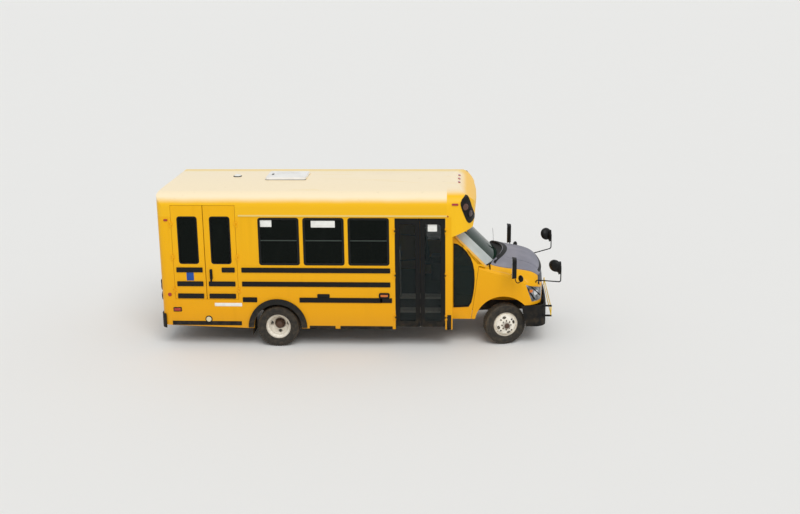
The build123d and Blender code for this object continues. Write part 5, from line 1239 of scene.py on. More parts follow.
@dataclass
class Wheel:
    """One road wheel or pair: its centre, axle direction and what stands on it."""

    label: str
    body: str
    node: str
    tyre_node: str
    centre: Point3
    axis: Point3
    tyre_offsets: tuple[float, ...]
    radius: float = 0.37
    nut_circle: float = 0.083
    nut_seat: float = 0.123
    stain: float = 0.055
    hole_circle: float = 0.142
    hole_half: Point2 = (0.024, 0.037)
    hand_holes: tuple[float, ...] = (75.0, 160.0, 250.0, 345.0)
    tread_rows: tuple[float, ...] = (-0.064, -0.023, 0.023, 0.064)
    lug_pitch: float = 0.042

    def build(self) -> None:
        """Make the tyres, the nuts and the wheel's finish."""
        self._paint()
        self._tyres()
        self._fittings()

    def _paint(self) -> None:
        """Give the wheel node its stained enamel."""
        finish = WheelPaint("wheel_enamel_" + self.label, self.centre, self.axis, self.stain)
        axis = Vector(self.axis)
        across = Vector((0, 0, 1)).cross(axis).normalized() * (-1 if axis.y < 0 else 1)
        blocks = []
        for degrees in self.hand_holes:
            turn = math.radians(degrees)
            arm = across * math.cos(turn) + Vector((0, 0, 1)) * math.sin(turn)
            along = axis.cross(arm).normalized()
            steep, wide = arm * self.hole_half[0], along * self.hole_half[1]
            rings = []
            for depth in (-0.25, 0.25):
                middle = Vector(self.centre) + axis * depth + arm * self.hole_circle
                steps = [2 * math.pi * step / 20 for step in range(20)]
                rings.append([middle + steep * math.cos(t) + wide * math.sin(t) for t in steps])
            blocks.append(rings)
        mesh = cut(written(node_copy(self.node), "wheel_copy"), blocks)
        coated(mesh, finish.material())
        mesh.name = "wheel_" + self.label
        seat(linked(mesh.name, mesh), self.body, "wheel_paint", [self.node])

    def _section(self) -> list[Point2]:
        """The tyre's cross-section: beads, side walls with a rib, shoulders and grooves."""
        half = [
            (0.2046, 0.070), (0.222, 0.0772), (0.226, 0.084), (0.236, 0.0895), (0.246, 0.094),
            (0.252, 0.0985), (0.258, 0.0985), (0.266, 0.103), (0.288, 0.1085), (0.308, 0.1075),
            (0.312, 0.1095), (0.322, 0.1085), (0.326, 0.1055), (0.340, 0.1015), (0.352, 0.0965),
            (0.3595, 0.0875), (0.3605, 0.0845),
        ]
        crown = [(0.3605, 0.044), (0.3605, 0.0), (0.3605, -0.044)]
        low = [(radius, -across) for radius, across in reversed(half)]
        return half + crown + low

    def _tyres(self) -> None:
        """Turn each tyre's carcass and set tread blocks round it."""
        piece = Piece("tyres_" + self.label, self.body, "tyre_rubber", [])
        rubber = TyreRubber("tyre_" + self.label, self.centre, self.axis)
        axis = Vector(self.axis)
        across = axis.orthogonal().normalized()
        axes = (axis, across, axis.cross(across))
        for offset in self.tyre_offsets:
            middle = Vector(self.centre) + axis * offset
            piece.turned(self._section(), tuple(middle), self.axis, Look.RUBBER, 72)
            count = round(2 * math.pi * self.radius / self.lug_pitch)
            for row, place in enumerate(self.tread_rows):
                wide = MIDDLE_LUG if abs(place) < 0.05 else SHOULDER_LUG
                size = (wide, 0.031, 0.26 if place > 0 else -0.26)
                for step in range(count):
                    turn = 2 * math.pi * (step + 0.5 * (row % 2)) / count
                    lug(piece, middle + axis * place, axes, turn, size, self.radius)
        item = piece.done([self.tyre_node], crease=CREASE)
        coated(item.data, rubber.material())

    def _fittings(self) -> None:
        """Wheel nuts on their studs."""
        axis = Vector(self.axis)
        across = axis.orthogonal().normalized()
        third = axis.cross(across)
        centre = Vector(self.centre)
        ring = []
        for step in range(8):
            turn = 2 * math.pi * step / 8
            arm = across * math.cos(turn) + third * math.sin(turn)
            ring.append(tuple(centre + axis * self.nut_seat + arm * self.nut_circle))
        pitch = 2 * self.nut_circle * math.sin(math.pi / 8) * 0.999
        repeaters = [
            (Repeater(size, pitch, Look.IRON, tuple(axis)), [ring])
            for size in ((0.027, 0.027, 0.026), (0.015, 0.015, 0.05))
        ]
        set_out("wheel_nuts_" + self.label, self.body, "cast_steel", repeaters)


def lug(
    piece: Piece,
    middle: Vector,
    axes: tuple[Vector, Vector, Vector],
    turn: float,
    size: Point3,
    radius: float,
) -> None:
    """One tread block, standing on the carcass.

    Args:
        piece: the tyre it belongs to.
        middle: the row's centre on the axle line.
        axes: axle direction and two directions across it.
        turn: the block's place round the tyre.
        size: width across, length round and skew.
        radius: the tyre's outer radius.
    """
    axle, across, third = axes
    wide, long, skew = size
    points = []
    for reach, ease in ((0.358, 0.0), (radius - 0.0005, 0.0025)):
        for side, end in ((-1, -1), (1, -1), (1, 1), (-1, 1)):
            along = end * (long / 2 - ease) / radius + side * skew * wide / 2 / radius
            drop = 0.0012 if wide == SHOULDER_LUG and reach > 0.36 else 0.0
            arm = across * math.cos(turn + along) + third * math.sin(turn + along)
            points.append(middle + axle * side * (wide / 2 - ease) + arm * (reach - drop))
    faces = [(3, 2, 1, 0), (4, 5, 6, 7), (0, 1, 5, 4), (1, 2, 6, 5), (2, 3, 7, 6), (3, 0, 4, 7)]
    piece.add(points, faces, Look.RUBBER)


def cut(mesh: bpy.types.Mesh, blocks: Sequence[Sequence[Sequence[Vector]]]) -> bpy.types.Mesh:
    """Take blocks out of a closed mesh.

    Args:
        mesh: the mesh to cut.
        blocks: each block as two rings of points.

    Returns:
        A new mesh.
    """
    tool = Piece("cutter", "", "", [Look.BLACK])
    for rings in blocks:
        tool.rings(rings, Look.BLACK)
    items = [linked("to_cut", mesh), linked("cutter", written(tool.mesh, "cutter"))]
    change = items[0].modifiers.new("cut", "BOOLEAN")
    change.operation = "DIFFERENCE"
    change.solver = "EXACT"
    change.use_self = False
    change.object = items[1]
    bpy.context.view_layer.update()
    seen = items[0].evaluated_get(bpy.context.evaluated_depsgraph_get())
    result = bpy.data.meshes.new_from_object(seen)
    for item in items:
        bpy.data.objects.remove(item)
    return result


def node_copy(node: str) -> bmesh.types.BMesh:
    """A copy of a node's mesh with its corners joined."""
    whole = bmesh.new()
    whole.from_mesh(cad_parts[node].data)
    bmesh.ops.remove_doubles(whole, verts=whole.verts, dist=2e-5)
    return whole


@dataclass
class CabFront:
    """The van's upper front as it shows: the low-raked windshield, its pillars, side windows and hood."""

    tall_window: tuple[Point2, ...] = (
        (1.68, 0.705), (1.94, 0.72), (1.985, 0.80), (2.012, 0.92), (2.032, 1.06), (2.04, 1.22), (2.032, 1.38),
        (2.008, 1.50), (1.965, 1.61), (1.89, 1.71), (1.80, 1.80), (1.74, 1.84), (1.68, 1.855),
    )
    foot_x: float = 2.2348
    foot_z: float = 1.44
    head_z: float = 2.10
    rake: float = 1.0074
    bar_depth: float = 0.03
    pillar_rear: float = 1.655
    glass_foot: Point3 = (2.2588, 0.8827, 2.4775)
    glass_head: Point3 = (1.5939, 0.8278, 1.8116)
    hood_rows: tuple[tuple[float, float, float, float], ...] = (
        (2.30, 1.596, 1.512, 1.444),
        (2.60, 1.540, 1.450, 1.355),
        (2.90, 1.480, 1.392, 1.287),
        (3.07, 1.425, 1.335, 1.235),
        (3.18, 1.345, 1.255, 1.160),
        (3.29, 1.205, 1.120, 1.050),
    )

    def build(self) -> None:
        """Make every piece that stands for a node, and then what closes round them."""
        self._cab()
        self._door()
        self._glass()
        self._hood()
        self._fillers()

    def _line_x(self, z: float, back: float = 0.0) -> float:
        """Where the raked edge of the side runs at a height."""
        return self.foot_x - back - self.rake * (z - self.foot_z)

    def _line_z(self, x: float) -> float:
        """How high the raked edge stands at x."""
        return self.foot_z + (self.foot_x - x) / self.rake

    def _bar_row(self, side: int, z: float, front: float, rear: float) -> list[Vector]:
        """The section of a bar in the cab's side at a height."""
        out, deep = cab_side(side, 0, z)[1], cab_side(side, 0, z, -self.bar_depth)[1]
        return [Vector((x, y, z)) for x, y in ((front, out), (front, deep), (rear, deep), (rear, out))]

    @staticmethod
    def _block(outline: Sequence[Point2], low: float, high: float) -> list[list[Vector]]:
        """A side-view outline as a block from one y to another."""
        return [[Vector((x, y, z)) for x, z in outline] for y in (low, high)]

    @staticmethod
    def _stand_for(mesh: bpy.types.Mesh, node: str, look: Look, body: str, slot: str, name: str) -> None:
        """Show a mesh in place of a node.

        Args:
            mesh: the remade shape.
            node: the node that it replaces.
            look: its finish.
            body: the body it rides on.
            slot: its material slot.
            name: the object's name.
        """
        coated(mesh, look.material())
        mesh.name = name
        remade[node] = mesh
        seat(linked(name, mesh), body, slot, [node])

    def _cab(self) -> None:
        """The cab's shell, cut back to the raked line, with its pillars set on that line."""
        foot, rear = 1.4405, 1.661
        wedge = [(self.foot_x, foot), (2.62, foot), (2.62, 2.3), (rear, 2.3), (rear, self._line_z(rear))]
        blocks = [self._block(wedge, -1.4, 1.4), self._block(self.tall_window, -1.06, -0.85)]
        mesh = cut(written(node_copy("cab_shell"), "cab_copy"), blocks)
        self._stand_for(mesh, "cab_shell", Look.YELLOW, "bus_body", "yellow_paint", "cab_shell_raked")

    def _door(self) -> None:
        """The driver's door, its front edge laid back along the pillar, with a bar to close its frame."""
        gap = 0.042
        wedge = [(self._line_x(1.5, gap), 1.5), (2.4, 1.5), (2.4, 2.2), (self._line_x(2.2, gap), 2.2)]
        mesh = cut(written(node_copy("driver_door"), "door_copy"), [self._block(wedge, 0.7, 1.2)])
        bar = Piece("bar", "", "", [Look.YELLOW])
        rows = [self._bar_row(1, z, self._line_x(z, gap), self._line_x(z, gap + 0.062)) for z in (1.49, 1.96)]
        bar.rings(rows, Look.YELLOW)
        joined(mesh, written(bar.mesh, "bar"))
        self._stand_for(mesh, "driver_door", Look.YELLOW, "driver_door", "yellow_paint", "driver_door_raked")

    @staticmethod
    def glass_x(level: Point3, y: float) -> float:
        """The windshield's x at y on one of its two levels."""
        corner_x, corner_y, centre = level
        return centre - (centre - corner_x) * (y / corner_y) ** 2

    def _glass(self) -> None:
        """Every fixed pane as it was, and the windshield at its own rake."""
        whole = node_copy("window_glass")
        gone = [vertex for vertex in whole.verts if vertex.co.x > 1.62]
        bmesh.ops.delete(whole, geom=gone, context="VERTS")
        mesh = written(whole, "panes")
        sheet = Piece("sheet", "", "", [Look.SIDE_GLASS])
        top, thickness, rear = 0.955, 0.010, 1.665
        rings = []
        for share in [index * top / 10 for index in range(11)]:
            line = []
            for column in [-1 + index / 12 for index in range(25)]:
                foot, head = (
                    Vector((self.glass_x(level, column * level[1]), column * level[1], z))
                    for level, z in ((self.glass_foot, self.foot_z), (self.glass_head, self.head_z))
                )
                line.append(foot.lerp(head, share))
            back = [point - Vector((thickness, 0, 0)) for point in reversed(line)]
            rings.append([Vector((max(point.x, rear), point.y, point.z)) for point in line + back])
        sheet.rings(rings, Look.SIDE_GLASS)
        joined(mesh, written(sheet.mesh, "sheet"))
        self._stand_for(mesh, "window_glass", Look.SIDE_GLASS, "bus_body", "tinted_glass", "fixed_glass")

    def hood_z(self, x: float, y: float) -> float:
        """The hood's height, by a smooth curve through its rows."""
        rows = self.hood_rows
        index = max(0, min(len(rows) - 2, sum(1 for row in rows if row[0] <= x) - 1))
        ahead = (x - rows[index][0]) / (rows[index + 1][0] - rows[index][0])
        before, after = rows[max(index - 1, 0)], rows[min(index + 2, len(rows) - 1)]
        start, end = rows[index], rows[index + 1]
        span = end[0] - start[0]
        heights = []
        for column in (1, 2, 3):
            rise = (end[column] - before[column]) / max(end[0] - before[0], 1e-6) * span
            fall = (after[column] - start[column]) / max(after[0] - start[0], 1e-6) * span
            square, cube = ahead**2, ahead**3
            heights.append(
                (2 * cube - 3 * square + 1) * start[column]
                + (cube - 2 * square + ahead) * rise
                + (3 * square - 2 * cube) * end[column]
                + (cube - square) * fall
            )
        crown, shoulder, edge = heights
        flat, span = 0.66, 0.722
        slope = shoulder + (crown - shoulder) * (1 - (min(abs(y), flat) / span) ** 2)
        if abs(y) <= flat:
            return slope
        share = min(1.0, (abs(y) - flat) / 0.13)
        return slope + (edge - slope) * (0.55 * share + 0.45 * share**2)

    @staticmethod
    def hood_rear(share: float) -> float:
        """The hood's rear edge at a share of its half width."""
        return 2.56 - 0.23 * share**2

    @staticmethod
    def hood_front(share: float) -> float:
        """The hood's front edge at a share of its half width."""
        part = abs(share)
        if part < 0.88:
            return 3.272 - 0.066 * (part / 0.88) ** 2
        return 3.206 - 0.056 * ((part - 0.88) / 0.12) ** 2

    @staticmethod
    def hood_half(x: float) -> float:
        """The hood's half width at x."""
        return 0.79 - 0.06 * max(0.0, min(1.0, (x - 2.33) / 0.82))

    def _hood(self) -> None:
        """The crowned hood with its rounded front edge."""
        piece = Piece("hood_crowned", "hood", "hood_paint", [Look.HOOD])
        columns = [-1 + index / 16 for index in range(33)]
        rows = [index / 26 for index in range(27)]
        tops, lows = [], []
        for row in rows:
            for column in columns:
                rear = self.hood_rear(column)
                x = rear + (self.hood_front(column) - rear) * row
                y = column * self.hood_half(x)
                tops.append(Vector((x, y, self.hood_z(x, y))))
                lows.append(tops[-1] - Vector((0, 0, 0.022)))
        wide = len(columns)
        starts = [row * wide + column for row in range(len(rows) - 1) for column in range(wide - 1)]
        cells = [(a, a + 1, a + wide + 1, a + wide) for a in starts]
        piece.add(tops + lows, sheet_faces(cells, len(tops)), Look.HOOD)
        remade["hood"] = piece.done(["hood"]).data

    def _fillers(self) -> None:
        """Pillars, the panel over the glass, and the fender tops up to the hood's edge."""
        piece = Piece("cab_front_panels", "bus_body", "yellow_paint", [Look.YELLOW, Look.TRIM])
        for side in (-1, 1):
            self._pillar(piece, side)
            if side < 0:
                rows = []
                for z in (1.49, 1.99):
                    front = max(self._line_x(z, 0.002), 1.66)
                    rows.append(self._bar_row(side, z, front, max(self._line_x(z, 0.08), self.pillar_rear)))
                piece.rings(rows, Look.YELLOW)
            self._fender_top(piece, side)
        self._header(piece)
        self._under_hood(piece)
        piece.done()

    def _pillar(self, piece: Piece, side: int) -> None:
        """The windshield's pillar on one side, from the cowl up to the cap."""
        foot = [(2.2547, 0.8867), (2.2348, 1.0014), (2.2068, 0.9714), (2.2207, 0.8867)]
        head = [(1.5898, 0.8318), (1.566, 0.911), (1.538, 0.881), (1.5558, 0.8318)]
        rings = []
        for share in (0.0, 0.43, 0.866):
            ring = []
            for a, b in zip(foot, head):
                low, high = Vector((a[0], side * a[1], self.foot_z)), Vector((b[0], side * b[1], self.head_z))
                point = low.lerp(high, share)
                ring.append(Vector((max(point.x, self.pillar_rear), point.y, point.z)))
            rings.append(ring)
        piece.rings(rings, Look.YELLOW)

    def _fender_top(self, piece: Piece, side: int) -> None:
        """The fender's rise from its shoulder to the hood's edge."""
        rings = []
        for x in (2.33 + 0.06 * index for index in range(15)):
            half = self.hood_half(x) + 0.006
            across, shoulder, beside = self._shoulder(x)
            top = self.hood_z(x, half) - 0.004
            outer = min(0.965, across - 0.022)
            section = (
                (outer, shoulder - 0.012),
                (outer - 0.03, shoulder + (top - shoulder) * 0.30),
                (half + 0.03, top - 0.012),
                (half, top),
                (half, min(top - 0.02, beside - 0.02)),
            )
            rings.append([Vector((x, side * y, z)) for y, z in section])
        piece.rings(rings, Look.YELLOW)

    def _header(self, piece: Piece) -> None:
        """The plate over the glass and the strip that closes it to the cap."""
        share = (2.062 - self.foot_z) / (self.head_z - self.foot_z)
        rear = []
        for y in (-0.84 + 0.084 * index for index in range(21)):
            x = self.glass_x(self.glass_foot, y) * (1 - share) + self.glass_x(self.glass_head, y) * share
            rear.append((max(x - 0.004, 1.64), y))
        plate = rear + [(1.91, 0.865), (1.91, -0.865)]
        strip = [(1.884, -0.858), (1.898, -0.858), (1.898, 0.858), (1.884, 0.858)]
        for outline, levels in ((plate, (2.052, 2.066)), (strip, (2.055, 2.2))):
            piece.rings([[Vector((x, y, z)) for x, y in outline] for z in levels], Look.YELLOW)

    def _under_hood(self, piece: Piece) -> None:
        """The slate panel under the hood's front edge, down to the grille."""
        low = 0.975
        rings = []
        for share in (-1 + index / 16 for index in range(33)):
            edge = self.hood_front(share)
            y = share * self.hood_half(edge)
            top = self.hood_z(edge, y) - 0.026
            ahead = (1 - 0.8 * max(0.0, abs(share) - 0.8) / 0.2) * 0.022
            section = (
                (edge - 0.03, y * 0.985, top),
                (edge - 0.006, y, top),
                (edge + ahead * 0.6, y, (top + low) / 2),
                (edge + ahead, y, low),
                (edge - 0.03, y * 0.985, low),
            )
            rings.append([Vector(point) for point in section])
        piece.rings(rings, Look.SLATE)

    @staticmethod
    def _shoulder(x: float) -> Point3:
        """The node's half width, shoulder height and height beside the hood at x."""
        rows = (
            (2.30, 1.007, 1.392, 1.428),
            (2.65, 1.007, 1.275, 1.330),
            (2.90, 1.005, 1.198, 1.262),
            (3.08, 0.975, 1.118, 1.176),
            (3.20, 0.880, 1.050, 1.098),
        )
        for start, end in zip(rows, rows[1:]):
            if x <= end[0]:
                share = (x - start[0]) / (end[0] - start[0])
                return tuple(a + (b - a) * share for a, b in zip(start[1:], end[1:]))
        return rows[-1][1:]


@dataclass
class DoorGlass:
    """Panes and rubber beads of the doors that the CAD model leaves open."""

    gap: float = 0.0006

    def build(self) -> None:
        """Glaze every door and the cab's tall side window."""
        leaf_low, leaf_high = 0.401 + 0.09, 2.367 - 0.09
        leaf_z, leaf_height = (leaf_low + leaf_high) / 2, leaf_high - leaf_low
        leaf_width = 1.0885 - 0.659 - 0.124
        for kind, end, glass, pane in (
            ("lift", "rear", Look.SIDE_GLASS, ((-2.987, 1.966), 0.338, 0.84)),
            ("lift", "front", Look.SIDE_GLASS, ((-2.41, 1.966), 0.342, 0.84)),
            ("entrance", "rear", Look.DOOR_GLASS, ((0.87375, leaf_z), leaf_width, leaf_height)),
            ("entrance", "front", Look.DOOR_GLASS, ((1.31525, leaf_z), leaf_width, leaf_height)),
        ):
            body = f"lift_door_{end}" if kind == "lift" else f"entrance_leaf_{end}"
            self._flat_door(f"{kind}_glass_{end}", body, RIGHT_WALL, [pane], glass)
        panes = [((0, 1.9485), 0.62, 0.56), ((0, 1.08), 0.62, 0.3)]
        self._flat_door("rear_door_glass", "rear_door", REAR_WALL, panes, Look.SIDE_GLASS)
        self._cab_side()

    def _flat_door(
        self, name: str, body: str, wall: Face, panes: Sequence[tuple[Point2, float, float]], glass: Look
    ) -> None:
        """The panes of a flat door, each with a bead on its outer face.

        Args:
            name: the object's name.
            body: the door's body.
            wall: the face that the door lies in.
            panes: each pane's middle, width and height.
            glass: the panes' finish.
        """
        piece = Piece(name, body, "tinted_glass", [glass, Look.RUBBER])
        for middle, width, height in panes:
            edge = rounded(middle, width - 2 * self.gap, height - 2 * self.gap, 0.04)
            piece.slab(wall, edge, -0.022, -0.016, glass)
            bead = rounded(middle, width + 0.022, height + 0.022, 0.051)
            piece.ring_slab(wall, bead, 0.024, SKIN, 0.0045, Look.RUBBER)
        piece.done()

    def _cab_side(self) -> None:
        """The driver's door window and the tall fixed window on the right."""
        door = [(1.04, 1.425), (2.06, 1.425), (2.06, 1.525), (1.645, 1.935), (1.04, 1.935)]
        for name, body, side, outline in (
            ("driver_door_glass", "driver_door", 1, door),
            ("tall_side_glass", "bus_body", -1, list(CabFront.tall_window)),
        ):
            piece = Piece(name, body, "tinted_glass", [Look.CAB_GLASS, Look.RUBBER])
            edge = spaced(moved_in(outline, self.gap), 0.12, closed=True)
            self._bent(piece, edge, side, -0.024, -0.018)
            rim = spaced(outline, 0.06, closed=True)
            route = [cab_side(side, x, z, 0.002) for x, z in rim]
            piece.tube(route, 0.009, Look.RUBBER, 8, closed=True)
            piece.done()

    @staticmethod
    def _bent(piece: Piece, edge: Sequence[Point2], side: int, low: float, high: float) -> None:
        """A thin pane that follows the cab's side, bent at the belt where that starts to lean."""
        flat = [Vector(point) for point in edge]
        low_x, high_x = min(p.x for p in flat), max(p.x for p in flat)
        bend = [(low_x + (high_x - low_x) * step / 9, BELT_Z) for step in range(1, 9)]
        inner = [Vector(spot) for spot in bend if inside(spot, edge)]
        links = [(index, (index + 1) % len(flat)) for index in range(len(flat))]
        spots, _, cells, *_ = delaunay_2d_cdt(flat + inner, links, [], 1, 1e-6)
        outer = [Vector(cab_side(side, spot.x, spot.y, high)) for spot in spots]
        back = [Vector(cab_side(side, spot.x, spot.y, low)) for spot in spots]
        piece.add(outer + back, sheet_faces(cells, len(spots)), Look.CAB_GLASS)


BELT_Z = 1.4  # where the cab's side starts to lean in


def cab_side(side: int, x: float, z: float, out: float = 0.0) -> Point3:
    """A point on the cab's side, which leans in above its belt.

    Args:
        side: -1 for the right, 1 for the left.
        x, z: its place along and above the ground.
        out: how far it stands off the side.

    Returns:
        The point.
    """
    lean = 0.085 / 0.636
    across = 1.007 - max(0.0, z - BELT_Z) * lean + out
    return (x, side * across, z)


@dataclass
class SeatPads:
    """The bench and driver's seat cushions, swelled by a short cloth run."""

    depth: float = 0.42
    height: float = 0.095
    floor_z: float = 1.1453
    back_top: float = 1.88
    voxel: float = 0.014
    cap: float = 0.016
    inset: float = 0.009
    frames: int = 20
    benches: tuple[tuple[int, float], ...] = (
        (-1, 0.15), (-1, -0.6), (1, 0.44), (1, -0.31), (1, -1.06), (1, -1.81), (1, -2.56),
    )
    bench_y: float = 0.682
    bench_half: float = (1.174 - 0.19) / 2 - 0.01
    driver_half: float = 0.245
    driver_place: Point2 = (1.42, 0.52)

    def build(self) -> None:
        """Make one cushion and one back of each width, then place them all."""
        benches = [(x, side * self.bench_y) for side, x in self.benches]
        for label, form in (("cushions", self._cushion), ("backrests", self._back)):
            stands_for = ["seat_pads"] if label == "cushions" else []
            bench = self._pad(form(self.bench_half), label)
            self._place("bench_" + label, bench, benches, Look.SEAT, stands_for)
            driver = self._pad(form(self.driver_half), label)
            self._place("driver_" + label, driver, [self.driver_place], Look.CUSHION, [])

    @staticmethod
    def _place(
        name: str, pad: bpy.types.Mesh, spots: Sequence[Point2], look: Look, replaces: Sequence[str]
    ) -> None:
        """Turn copies of a pad into one piece.

        Args:
            name: the object's name.
            pad: the pad's mesh.
            spots: where each copy stands.
            look: its finish.
            replaces: the nodes that it stands for.
        """
        whole = bmesh.new()
        for x, y in spots:
            copied = pad.copy()
            copied.transform(Matrix.Translation((x, y, 0)))
            whole.from_mesh(copied)
        mesh = written(whole, name)
        mesh.materials.append(look.material())
        mesh.shade_smooth()
        item = linked(name, mesh)
        seat(item, "bus_body", "seat_vinyl", replaces)

    def _cushion(self, half: float) -> bpy.types.Mesh:
        """The seat cushion's starting form, a little small."""
        low, high = self.floor_z + 0.002, self.floor_z + self.height - self.inset
        edge = rounded((0, 0), self.depth - 2 * self.inset, 2 * half - 2 * self.inset, 0.045)
        rows = [
            [Vector((x * s, y * s2, z)) for x, y in edge]
            for z, s, s2 in ((low, 0.985, 0.993), (low + 0.02, 1, 1), (high - 0.03, 1, 1), (high, 0.93, 0.97))
        ]
        return self._closed(rows)

    def _back(self, half: float) -> bpy.types.Mesh:
        """The backrest's starting form, leaning back and thinner at its top."""
        low, high = self.floor_z + 0.002, self.back_top - self.inset
        wide = half - self.inset
        rows = []
        for share in (0.0, 0.04, 0.9, 1.0):
            z = low + (high - low) * share
            front = -self.depth / 2 - 0.005 - 0.105 * share - self.inset
            rear = -self.depth / 2 - 0.095 - 0.078 * share + self.inset
            pull = 0.02 if share in (0.0, 1.0) else 0.0
            middle, deep = (front + rear) / 2, front - rear
            edge = rounded((middle, 0), deep - pull * 0.8, 2 * wide - pull, 0.028)
            rows.append([Vector((x, y, z)) for x, y in edge])
        return self._closed(rows)

    @staticmethod
    def _closed(rows: Sequence[Sequence[Vector]]) -> bpy.types.Mesh:
        """Skin rings into a closed mesh."""
        piece = Piece("pad_form", "bus_body", "seat_vinyl", [Look.SEAT])
        piece.rings(rows, Look.SEAT)
        return written(piece.mesh, "pad_form")

    def _pad(self, mesh: bpy.types.Mesh, label: str) -> bpy.types.Mesh:
        """Remesh a form finely, swell it as cloth and cap the swelling."""
        item = linked(label, mesh)
        change = item.modifiers.new("even", "REMESH")
        change.mode = "VOXEL"
        change.voxel_size = self.voxel
        graph = bpy.context.evaluated_depsgraph_get()
        even = bpy.data.meshes.new_from_object(item.evaluated_get(graph))
        item.modifiers.clear()
        item.data = even
        self._swell(item)
        result = item.data
        bpy.data.objects.remove(item)
        return result

    def _swell(self, item: bpy.types.Object) -> None:
        """Run the cloth for a few frames and keep its capped result."""
        rest = [vertex.co.copy() for vertex in item.data.vertices]
        cloth = item.modifiers.new("swell", "CLOTH")
        settings = {
            "use_pressure": True,
            "uniform_pressure_force": 4.0,
            "quality": 4,
            "tension_stiffness": 18.0,
            "compression_stiffness": 18.0,
        }
        for key, value in settings.items():
            setattr(cloth.settings, key, value)
        cloth.settings.effector_weights.gravity = 0.0
        cloth.point_cache.frame_start = 1
        cloth.point_cache.frame_end = self.frames
        scene = bpy.context.scene
        for number in range(1, self.frames + 1):
            scene.frame_set(number)
        graph = bpy.context.evaluated_depsgraph_get()
        swelled = bpy.data.meshes.new_from_object(item.evaluated_get(graph))
        item.modifiers.clear()
        floor = self.floor_z + 0.0005
        for vertex, start in zip(swelled.vertices, rest):
            move = vertex.co - start
            if move.length > self.cap:
                move = move.normalized() * self.cap
            place = start + move
            place.z = max(place.z, floor)
            vertex.co = place
        item.data = swelled
        scene.frame_set(1)


